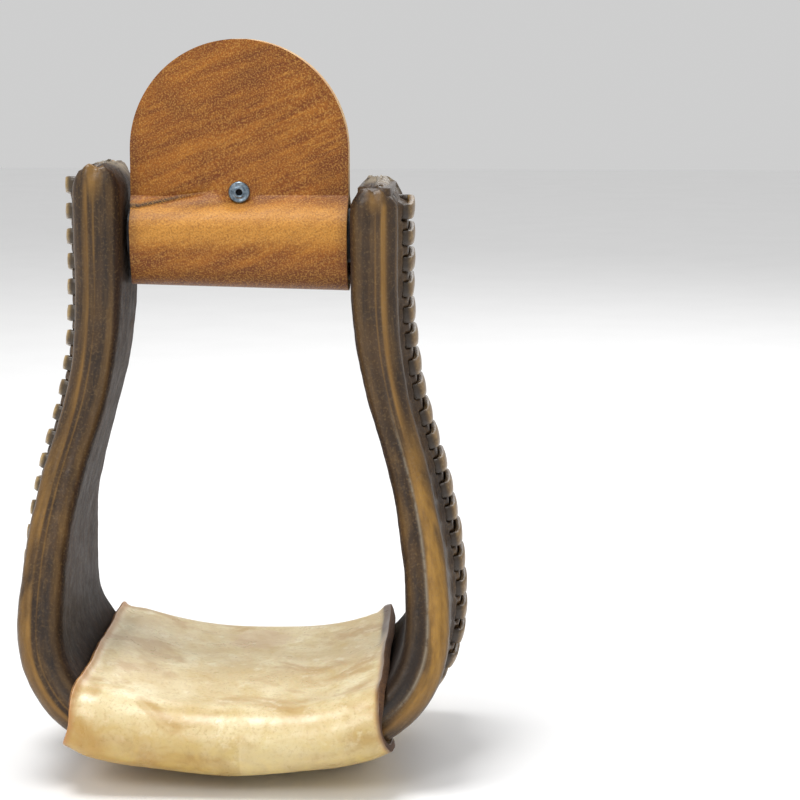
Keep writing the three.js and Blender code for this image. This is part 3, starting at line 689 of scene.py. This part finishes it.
def flap_grid():
    """The strap's mid-surface before it creases: down the front from the round top and up the back."""
    straight = strap_line()
    arc = np.linspace(0, math.pi / 2 - 0.06, 30)[1:]
    round_z = FLAP_TOP - FLAP_HALF + FLAP_HALF * np.sin(arc)
    round_top = np.stack([np.full(len(arc), straight[-1, 0]), round_z], -1)
    line = np.concatenate([straight, round_top])
    half_wide = np.concatenate([np.full(len(straight), FLAP_HALF), FLAP_HALF * np.cos(arc)])
    path = np.concatenate([line[::-1][:-1] * [-1, 1], line])
    wide = np.concatenate([half_wide[::-1][:-1], half_wide])
    across = np.sin(np.linspace(-math.pi / 2, math.pi / 2, 91)) * 0.35 + np.linspace(-1, 1, 91) * 0.65
    x = across[None, :] * wide[:, None]
    return np.stack([x, path[:, :1] + 0 * x, path[:, 1:] + 0 * x], -1)


def crease_front(x, y, z):
    """Y of the front layer with its creases, lying flat round the rivet, and where the faint crease is."""
    upper = CREASE_LOW + CREASE_RISE * np.clip((x - CREASE_START) / (CREASE_STOP - CREASE_START), 0, 1)
    lower = SECOND_CREASE + 1.6 * smooth(x, -FLAP_HALF, 0)
    faint = bump(z - lower, 1.6) * bump(x + 10, 16)
    creases = 0.9 * bump(z - upper, 1.8) * smooth(x, -4, -18) + 0.5 * faint
    fold = 0.75 * bump(z - (upper + lower) / 2, 2.0) * bump(x + 14, 13)
    swell = 0.5 * bump(z - 189, 5) * smooth(x, 20, -20)
    pressed = smooth(np.hypot(x, z - RIVET_HEIGHT), 8, 4)
    creased = y + (creases - fold - swell) * (1 - pressed)
    flat = np.maximum(creased, -FLAP_LEATHER / 2 - LAYER_GAP)
    return creased + (flat - creased) * pressed, faint


def make_flap():
    verts = flap_grid()
    x, y, z = (verts[..., axis].copy() for axis in range(3))
    is_front = y < 0
    front, faint = crease_front(x, y, z)
    ripple = wander(np.stack([x, z, 40.0 * is_front], -1), 34)
    verts[..., 1] = np.where(is_front, front, y)
    verts[..., 1] += 0.3 * ripple * smooth(z, 168, 180) * np.where(is_front, 1, 0.6)
    verts[..., 2] -= (1.7 + 0.9 * x / FLAP_HALF) * smooth(z, 184, 171)
    verts[..., 0] += 0.9 * smooth(x, -20, -FLAP_HALF) * smooth(verts[..., 1], -3, -11)
    height = verts[..., 2]
    near_edge = smooth(np.abs(x), FLAP_HALF - 4.5, FLAP_HALF - 1)
    obj = mesh_object("flap", verts, grid_faces(*x.shape, wrap=False))
    paint(obj, "crease", is_front * faint)
    paint(obj, "roll", np.maximum(smooth(height, 179, 171), 0.6 * near_edge))
    paint(obj, "bulge_highlight", is_front * smooth(height, 197, 192) * smooth(height, 180, 187))
    give_thickness(obj, FLAP_LEATHER, 0.55)
    return obj


# ---- Turned metal ----

def make_turned(name, profile, sides, height):
    """A closed piece turned round an axis along Y, from (radius, Y) points that start and end on it."""
    profile = np.array(profile, float)
    angles = np.linspace(0, 2 * math.pi, sides, endpoint=False)[:, None]
    radius, along = profile[:, 0][None, :], profile[:, 1][None, :]
    verts = np.stack([radius * np.cos(angles), along + 0 * angles, height - radius * np.sin(angles)], -1)
    count = len(profile)
    faces = []
    for i in range(sides):
        for j in range(count - 1):
            a, b = i * count + j, i * count + j + 1
            step = ((i + 1) % sides - i) * count
            faces.append((a, a + step, b + step, b))
    obj = mesh_object(name, verts, faces)
    shape = bmesh.new()
    shape.from_mesh(obj.data)
    bmesh.ops.remove_doubles(shape, verts=shape.verts, dist=1e-7)
    shape.to_mesh(obj.data)
    shape.free()
    modifier(obj, "BEVEL", width=0.12 * MM, segments=2, limit_method="ANGLE", angle_limit=math.radians(35))
    return obj


RIVET_BORE = 1.05
RIVET_TUBE = 2.1
RIVET_HEAD = 3.7


def make_rivet():
    """A tubular rivet: its dished head in front, its end rolled over the washer at the back."""
    face = -FLAP_LEATHER - 0.25
    back = FLAP_LEATHER + 1.35
    bore = [(0, face), (RIVET_BORE, face), (RIVET_BORE, face - 0.3)]
    dish = [(1.15, face - 0.75), (1.6, face - 0.9), (2.05, face - 0.6), (2.4, face - 0.5)]
    rim = [(2.8, face - 0.75), (3.3, face - 0.8), (RIVET_HEAD, face - 0.4), (RIVET_HEAD, face)]
    tube = [(RIVET_TUBE, face), (RIVET_TUBE, back)]
    roll = [(3.1, back), (3.1, back + 0.4), (2.5, back + 0.8), (1.2, back + 0.7), (1.0, back + 0.3)]
    end = [(1.0, back - 2), (0, back - 2)]
    obj = make_turned("rivet", bore + dish + rim + tube + roll + end, 48, RIVET_HEIGHT)
    for polygon in obj.data.polygons:
        middle = polygon.center / MM
        if math.hypot(middle.x, middle.z - RIVET_HEIGHT) < RIVET_BORE + 0.01:
            polygon.material_index = 1
    return obj


# ---- Materials ----

def srgb(red, green, blue):
    """A linear colour from 0..255 display values."""
    values = [channel / 255 for channel in (red, green, blue)]
    linear = [v / 12.92 if v <= 0.04045 else ((v + 0.055) / 1.055) ** 2.4 for v in values]
    return (*linear, 1.0)


def input_name(key):
    """The shader's name for an input: coat_weight becomes Coat Weight."""
    return key.replace("_", " ").title().replace("Ior", "IOR")


class Nodes:
    """A material's node tree, with short calls for the nodes used here."""

    def __init__(self, name, **surface):
        self.material = bpy.data.materials.new(name)
        self.material.use_nodes = True
        self.tree = self.material.node_tree
        self.shader = self.tree.nodes["Principled BSDF"]
        for key, value in surface.items():
            self.shader.inputs[input_name(key)].default_value = value
        self.place = self.tree.nodes.new("ShaderNodeTexCoord").outputs["Object"]

    def add(self, kind, inputs=None, **settings):
        node = self.tree.nodes.new("ShaderNode" + kind)
        for key, value in settings.items():
            setattr(node, key, value)
        for key, value in (inputs or {}).items():
            self.join(value, node.inputs[key])
        return node

    def join(self, value, socket):
        if isinstance(value, bpy.types.NodeSocket):
            self.tree.links.new(value, socket)
        else:
            socket.default_value = value

    def attribute(self, name):
        return self.add("Attribute", attribute_name=name).outputs["Fac"]

    def axes(self):
        """The X, Y and Z of each place, in metres."""
        return self.add("SeparateXYZ", {"Vector": self.place}).outputs

    def flow(self, scale):
        """The piece's own flow coordinates, scaled along it, across it and outward."""
        made = self.add("Attribute", attribute_name="flow").outputs["Vector"]
        return self.add("Mapping", {"Vector": made, "Scale": scale}).outputs[0]

    def stretched(self, scale, turn=(0, 0, 0)):
        """Object coordinates turned by angles in degrees and scaled along each axis."""
        turned = self.add("Mapping", {"Vector": self.place, "Rotation": [math.radians(t) for t in turn]})
        return self.add("Mapping", {"Vector": turned.outputs[0], "Scale": scale}).outputs[0]

    def noise(self, size, detail=3.0, roughness=0.55, vector=None, distortion=0.0):
        """Noise in 0..1 with features about size millimetres across."""
        made = self.add("TexNoise", {
            "Vector": vector or self.place, "Scale": 1 / (size * MM), "Detail": detail,
            "Roughness": roughness, "Distortion": distortion,
        })
        return made.outputs["Fac"]

    def cells(self, size, feature="F1", vector=None):
        inputs = {"Vector": vector or self.place, "Scale": 1 / (size * MM)}
        return self.add("TexVoronoi", inputs, feature=feature).outputs["Distance"]

    def fit(self, value, low, high, out_low=0.0, out_high=1.0):
        made = self.add("MapRange", {"Value": value, "From Min": low, "From Max": high,
                                     "To Min": out_low, "To Max": out_high})
        return made.outputs[0]

    def math(self, kind, a, b=0.0):
        return self.add("Math", {0: a, 1: b}, operation=kind).outputs[0]

    def mix(self, fac, a, b, blend="MIX"):
        made = self.add("Mix", data_type="RGBA", blend_type=blend)
        for value, socket in ((fac, 0), (a, 6), (b, 7)):
            self.join(value, made.inputs[socket])
        return made.outputs[2]

    def bump(self, height, distance, strength=1.0, normal=None):
        """distance is in millimetres."""
        inputs = {"Height": height, "Distance": distance * MM, "Strength": strength}
        if normal:
            inputs["Normal"] = normal
        return self.add("Bump", inputs).outputs[0]

    def finish(self, **surface):
        for key, value in surface.items():
            self.join(value, self.shader.inputs[input_name(key)])
        return self.material


def cover_material():
    n = Nodes("cover_leather", coat_roughness=0.22)
    rub_and_sheen, pit, inside, scuff = (n.attribute(name) for name in ("rub_and_sheen", "pit", "inside", "scuff"))
    broad = n.noise(22, 4, 0.6)
    blotch = n.noise(5, 5, 0.65)
    fibre = n.noise(2.6, 5, 0.6, n.flow((0.09, 1, 1)))
    streak = n.noise(4.5, 3, 0.55, n.flow((0.07, 1, 1)))
    base = n.mix(n.fit(broad, 0.35, 0.65), srgb(52, 37, 23), srgb(80, 58, 34))
    base = n.mix(n.fit(streak, 0.42, 0.66, 0, 0.75), base, srgb(34, 24, 18))
    base = n.mix(n.fit(fibre, 0.5, 0.72, 0, 0.5), base, srgb(112, 84, 46))
    # Painted shade: the legs' inner faces take a darker brown, as they lie in shadow.
    inner_side = n.mix(n.fit(fibre, 0.35, 0.65), srgb(34, 24, 19), srgb(64, 47, 38))
    base = n.mix(n.math("MULTIPLY", inside, 0.85), base, inner_side)
    # Golden where the leather is rubbed, and where painted highlight lies along the ridges and shoulders.
    patchy = n.math("MULTIPLY", rub_and_sheen, n.fit(n.noise(7, 3, 0.5, n.flow((0.12, 1, 1))), 0.2, 0.5))
    x = n.axes()[0]
    bright = n.mix(n.fit(x, 0.055, 0.07), srgb(150, 112, 54), srgb(180, 136, 62))
    golden = n.mix(n.fit(fibre, 0.3, 0.7, 0.15, 0.85), srgb(104, 72, 30), bright)
    base = n.mix(n.fit(patchy, 0.15, 0.8), base, golden)
    base = n.mix(n.fit(n.noise(0.8, 2, 0.5), 0.52, 0.72, 0, 0.3), base, srgb(132, 106, 68))
    # Painted shade on the legs' inner sides, low down near the sleeve.
    base = n.mix(n.math("MULTIPLY", n.attribute("painted_shade"), 0.8), base, srgb(30, 23, 20))
    # Painted shade in the seam's slot and in the pits where the lace goes into its slits.
    base = n.mix(n.fit(pit, 0.1, 0.7), base, srgb(16, 12, 10))
    base = n.mix(n.math("MULTIPLY", scuff, n.fit(blotch, 0.34, 0.5, 0.1, 0.8)), base, srgb(150, 138, 118))
    scratch = n.fit(n.noise(1.4, 3, 0.5, n.stretched((0.4, 1, 3), (35, 20, 10))), 0.66, 0.74)
    fine = n.bump(n.cells(0.75, "SMOOTH_F1"), 0.12, 0.6)
    coarse = n.bump(n.noise(1.6, 5, 0.6), 0.28, 0.55, fine)
    creased = n.bump(streak, 0.5, 0.3, n.bump(scratch, -0.14, 0.6, coarse))
    rough = n.math("ADD", n.fit(blotch, 0.3, 0.75, 0.34, 0.52), n.math("MULTIPLY", pit, 0.3))
    rough = n.math("ADD", rough, n.math("MULTIPLY", inside, 0.14))
    return n.finish(base_color=base, roughness=rough, normal=creased,
                    specular_ior_level=n.fit(inside, 0, 1, 0.3, 0.12),
                    coat_weight=n.fit(inside, 0, 1, 0.22, 0))


def lace_material():
    n = Nodes("lacing", specular_ior_level=0.5, coat_weight=0.3, coat_roughness=0.28)
    crown, edge = n.attribute("crown"), n.attribute("edge")
    mottle = n.noise(3.2, 5, 0.65)
    x = n.axes()[0]
    # Painted shade: the right leg's lace is darker and browner than the left's, as it faces away from the
    # light.
    lace_side_shade = n.mix(n.fit(x, -0.02, 0.02), srgb(176, 144, 82), srgb(134, 104, 62))
    base = n.mix(n.fit(mottle, 0.35, 0.65), srgb(104, 78, 40), lace_side_shade)
    base = n.mix(n.fit(n.noise(1.1, 3, 0.5), 0.48, 0.72, 0, 0.5), base, srgb(186, 158, 104))
    base = n.mix(n.fit(edge, 0.6, 1.0, 0, 0.5), base, srgb(80, 58, 30))
    # Painted shade where the thong dips down into its slits.
    base = n.mix(n.fit(crown, 0.05, 0.7, 0.9, 0), base, srgb(40, 29, 20))
    pores = n.bump(n.cells(0.5), 0.08, 0.5)
    return n.finish(base_color=base, roughness=n.fit(mottle, 0.3, 0.7, 0.32, 0.5), normal=pores)


def sleeve_material():
    n = Nodes("sleeve_face", specular_ior_level=0.45, coat_weight=0.5, coat_roughness=0.32,
              subsurface_weight=0.06, subsurface_scale=0.003)
    broad = n.noise(24, 4, 0.6, distortion=0.4)
    patch = n.noise(9, 5, 0.62, distortion=0.6)
    stain = n.noise(16, 3, 0.5, n.stretched((0.7, 1, 1.3), (0, 0, 20)), 0.8)
    base = n.mix(n.fit(broad, 0.36, 0.64), srgb(208, 182, 126), srgb(234, 218, 172))
    base = n.mix(n.fit(patch, 0.46, 0.7, 0, 0.8), base, srgb(204, 176, 108))
    base = n.mix(n.fit(stain, 0.5, 0.64, 0, 0.75), base, srgb(186, 148, 80))
    base = n.mix(n.fit(n.noise(6, 4, 0.6), 0.58, 0.7, 0, 0.5), base, srgb(244, 234, 200))
    base = n.mix(n.fit(n.noise(1.1, 4, 0.6), 0.52, 0.75, 0, 0.5), base, srgb(170, 136, 78))
    run = n.attribute("run")
    x = n.axes()[0]
    # Painted shade: darker and browner towards the sleeve's underside.
    under = n.fit(n.math("ABSOLUTE", run), 0.44, 0.58, 0, 0.8)
    base = n.mix(under, base, n.mix(n.fit(patch, 0.4, 0.6), srgb(164, 128, 44), srgb(202, 174, 92)))
    in_front = n.fit(run, -0.42, -0.5)
    smoky = n.math("MULTIPLY", n.fit(x, 0.0, -0.055, 0, 0.8), n.fit(n.noise(12, 4, 0.6), 0.35, 0.6, 0.3, 1))
    base = n.mix(n.math("MULTIPLY", smoky, in_front), base, srgb(184, 138, 50))
    paler = n.math("MULTIPLY", n.fit(x, 0.0036, 0.0042, 0, 0.3), n.fit(x, 0.045, 0.02))
    base = n.mix(n.math("MULTIPLY", paler, in_front), base, srgb(236, 220, 172))
    spot = n.add("VectorMath", {0: n.place, 1: (0.003, 0.028, 0.032)}, operation="DISTANCE").outputs["Value"]
    ragged = n.math("ADD", spot, n.fit(patch, 0.3, 0.7, -0.007, 0.007))
    base = n.mix(n.fit(ragged, 0.013, 0.009, 0, 0.5), base, srgb(200, 166, 122))
    rim = n.fit(n.attribute("end"), 0.95, 1.0, 0, 0.75)
    base = n.mix(rim, base, srgb(180, 118, 58))
    base = n.mix(n.math("MULTIPLY", n.attribute("rolled"), 0.92), base, srgb(76, 54, 40))
    grain = n.bump(n.cells(0.6, "SMOOTH_F1"), 0.06, 0.45)
    waves = n.bump(n.noise(6, 4, 0.55), 0.5, 0.3, grain)
    return n.finish(base_color=base, roughness=n.fit(patch, 0.3, 0.75, 0.24, 0.46), normal=waves)


def cut_edge_material(name, light, dark, size=1.2, shade_to_right=0.0):
    """A hide's cut edge: fibres in layers, darker where it has been handled, with painted shade towards the
    right.
    """
    n = Nodes(name, specular_ior_level=0.35, roughness=0.75)
    layers = n.noise(size, 5, 0.7)
    broad = n.noise(11, 3, 0.5)
    x = n.axes()[0]
    base = n.mix(n.fit(layers, 0.34, 0.66), light, dark)
    base = n.mix(n.fit(broad, 0.48, 0.66, 0, 0.7), base, dark)
    # Painted shade on the cut edges towards the right, where they face away from the light.
    base = n.mix(n.fit(x, 0.03, 0.05, 0, shade_to_right), base, dark)
    fuzz = n.bump(n.noise(0.5, 4, 0.7), 0.2, 0.9)
    return n.finish(base_color=base, normal=fuzz)


def flap_material():
    n = Nodes("oiled_leather", specular_ior_level=0.3, coat_weight=0.05, coat_roughness=0.35)
    streaks = n.noise(7, 4, 0.6, n.stretched((0.22, 1, 1.6), (0, 24, 0)), 0.5)
    fine_streaks = n.noise(2.2, 4, 0.6, n.stretched((0.2, 1, 1.5), (0, 22, 0)), 0.3)
    cloud = n.noise(20, 3, 0.5)
    base = n.mix(n.fit(streaks, 0.36, 0.64), srgb(118, 60, 14), srgb(158, 92, 22))
    base = n.mix(n.fit(fine_streaks, 0.5, 0.7, 0, 0.55), base, srgb(188, 124, 44))
    base = n.mix(n.fit(cloud, 0.5, 0.7, 0, 0.6), base, srgb(102, 52, 16))
    # Painted highlight: the swelling below the creases turns golden where it faces the light.
    bulge_highlight = n.math("MULTIPLY", n.attribute("bulge_highlight"), n.fit(streaks, 0.3, 0.6, 0.45, 1))
    base = n.mix(bulge_highlight, base, srgb(202, 140, 58))
    # Darker along the side edges and, as painted shade, where the loop turns under at its bottom.
    base = n.mix(n.fit(n.attribute("roll"), 0.1, 1.0, 0, 0.75), base, srgb(88, 46, 28))
    # Painted shade in the faint lower crease.
    base = n.mix(n.fit(n.attribute("crease"), 0.3, 0.9, 0, 0.35), base, srgb(74, 36, 18))
    # Painted shade: a thin dark line along the upper crease, fading out to the right.
    x, y, z = n.axes()
    line = n.fit(x, CREASE_START * MM, CREASE_STOP * MM, CREASE_LOW * MM, (CREASE_LOW + CREASE_RISE) * MM)
    off_line = n.math("ABSOLUTE", n.math("SUBTRACT", z, line))
    tapering = n.math("MULTIPLY", n.fit(x, -0.008, -0.026), n.fit(y, 0, -0.001))
    crease = n.math("MULTIPLY", n.fit(off_line, 0.00095, 0.0002), tapering)
    base = n.mix(crease, base, srgb(26, 13, 8))
    base = n.mix(n.fit(n.noise(0.55, 2, 0.5), 0.46, 0.66, 0, 0.42), base, srgb(222, 168, 84))
    base = n.mix(n.fit(n.noise(0.6, 2, 0.5, n.stretched((1, 1, 1), (9, 50, 70))), 0.48, 0.66, 0, 0.4),
                 base, srgb(100, 50, 20))
    pore = n.bump(n.noise(0.6, 3, 0.6), 0.18, 0.8)
    ripple = n.bump(crease, -0.9, 0.8, n.bump(streaks, 0.6, 0.35, pore))
    return n.finish(base_color=base, roughness=n.fit(fine_streaks, 0.3, 0.7, 0.45, 0.6), normal=ripple)


def metal_material(name, light, dark, rough, size=1.6):
    n = Nodes(name, metallic=0.9)
    patina = n.noise(size, 5, 0.65)
    base = n.mix(n.fit(patina, 0.35, 0.65), light, dark)
    worn = n.bump(n.noise(size * 0.4, 4, 0.6), 0.05, 0.6)
    return n.finish(base_color=base, roughness=n.fit(patina, 0.3, 0.7, rough, rough + 0.2), normal=worn)


def wood_material():
    n = Nodes("bent_wood", roughness=0.65, specular_ior_level=0.4)
    grain = n.noise(1.6, 5, 0.6, n.stretched((1, 1, 0.06)), 0.4)
    base = n.mix(n.fit(grain, 0.38, 0.64), srgb(198, 158, 104), srgb(142, 100, 58))
    return n.finish(base_color=base, normal=n.bump(grain, 0.12, 0.5))


def nylon_material():
    n = Nodes("bush_nylon", specular_ior_level=0.5)
    cloud = n.noise(2.5, 4, 0.6)
    base = n.mix(n.fit(cloud, 0.3, 0.7), srgb(30, 30, 34), srgb(52, 52, 58))
    scuffs = n.bump(n.noise(0.5), 0.05, 0.4)
    return n.finish(base_color=base, roughness=n.fit(cloud, 0.3, 0.7, 0.4, 0.6), normal=scuffs)


# ---- Building the visible pieces ----

def dress(obj, body, slot, replaced, *materials):
    for material in materials:
        obj.data.materials.append(material)
    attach(obj, body)
    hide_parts(*replaced)
    return obj


lacing = lace_material()
zinc = metal_material("zinc_plate", srgb(150, 166, 178), srgb(80, 94, 106), 0.26)
bore_shadow = metal_material("rivet_bore", srgb(22, 24, 28), srgb(8, 9, 11), 0.5)
sleeve_edge = cut_edge_material("sleeve_edge", srgb(206, 150, 86), srgb(72, 50, 38), shade_to_right=0.85)
flap_edge = cut_edge_material("flap_edge", srgb(236, 210, 162), srgb(192, 136, 80), 0.9)

dress(make_cover(), "frame", "cover_leather", ["leather_cover"], cover_material())
dress(make_lace("lace_right", RIGHT_BARS, 3, False), "frame", "lacing", ["right_lace"], lacing)
dress(make_lace("lace_left", LEFT_BARS, 5, True), "frame", "lacing", ["left_lace"], lacing)
dress(make_sleeve(), "frame", "tread_rawhide", ["tread_sleeve"], sleeve_material(), sleeve_edge)
dress(make_flap(), "flap", "bolt_leather", ["bolt_leather"], flap_material(), flap_edge)
dress(make_rivet(), "flap", "zinc", ["flap_rivet"], zinc, bore_shadow)

steel = metal_material("plain_steel", srgb(150, 152, 156), srgb(96, 98, 102), 0.32)
brass = metal_material("tack_brass", srgb(196, 164, 92), srgb(120, 92, 46), 0.3)
blued = metal_material("roller_blued", srgb(84, 88, 104), srgb(38, 40, 50), 0.34)
nylon = nylon_material()
node_materials = {
    "wooden_bow": wood_material(), "rivet_washer": zinc, "roller_tube": blued,
    "right_roller_bush": nylon, "left_roller_bush": nylon,
    "stirrup_bolt": steel, "bolt_nut": steel, "bolt_washer": steel, "nut_washer": steel,
}
node_materials.update({name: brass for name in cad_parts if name.startswith("sleeve_tack")})
for name, material in node_materials.items():
    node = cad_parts[name]
    node.data.materials.clear()
    node.data.materials.append(material)


# ---- Stage, light and camera, in metres ----

FLOOR_HALF = 3.0
WORLD_STRENGTH = 0.62
LIGHT_AIM = (0, 0, 0.12)
LIGHTS = [  # name, place, size and watts
    ("key", (-0.2, -0.15, 1.2), 0.5, 8),
    ("fill", (-0.4, -0.95, 0.85), 0.45, 3),
    ("back", (0.3, 0.9, 0.9), 0.8, 4),
]


def make_stage():
    n = Nodes("floor_paper", roughness=0.9)
    base = n.mix(n.fit(n.noise(60, 3), 0.3, 0.7), (0.93, 0.93, 0.93, 1), (0.95, 0.95, 0.95, 1))
    paper = n.finish(base_color=base, normal=n.bump(n.noise(1.5), 0.03, 0.2))
    corners = np.array([(-1, -1, 0), (1, -1, 0), (1, 1, 0), (-1, 1, 0)]) * FLOOR_HALF / MM
    floor = mesh_object("floor", corners, [(0, 1, 2, 3)])
    floor.data.materials.append(paper)


def area_light(name, place, size, power):
    light = bpy.data.lights.new(name, "AREA")
    light.shape = "DISK"
    light.size = size
    light.energy = power
    obj = bpy.data.objects.new(name, light)
    bpy.context.scene.collection.objects.link(obj)
    direction = Vector(LIGHT_AIM) - Vector(place)
    obj.matrix_world = Matrix.Translation(place) @ direction.to_track_quat("-Z", "Y").to_matrix().to_4x4()


def make_lights():
    world = bpy.data.worlds.new("studio")
    world.use_nodes = True
    background = world.node_tree.nodes["Background"]
    background.inputs["Color"].default_value = (1, 1, 1, 1)
    background.inputs["Strength"].default_value = WORLD_STRENGTH
    bpy.context.scene.world = world
    for name, place, size, power in LIGHTS:
        area_light(name, place, size, power)


CAMERA_AIM = 0.055  # the camera looks this far to the right of the stirrup's middle
CAMERA_DISTANCE = 0.7972
CAMERA_TURN = math.radians(2.87)  # and stands round to the right
CAMERA_HEIGHT = 0.263
CAMERA_PITCH = math.radians(9.64)
CAMERA_LENS = 104.4


def make_camera():
    data = bpy.data.cameras.new("camera")
    data.lens = CAMERA_LENS
    data.sensor_width = 36
    data.clip_start = 0.02
    camera = bpy.data.objects.new("camera", data)
    bpy.context.scene.collection.objects.link(camera)
    across, back = math.sin(CAMERA_TURN), math.cos(CAMERA_TURN)
    camera.location = (CAMERA_AIM + CAMERA_DISTANCE * across, -CAMERA_DISTANCE * back, CAMERA_HEIGHT)
    camera.rotation_euler = (math.pi / 2 - CAMERA_PITCH, 0, CAMERA_TURN)
    bpy.context.scene.camera = camera


make_stage()
make_lights()
make_camera()
bpy.context.scene.view_settings.view_transform = "Standard"
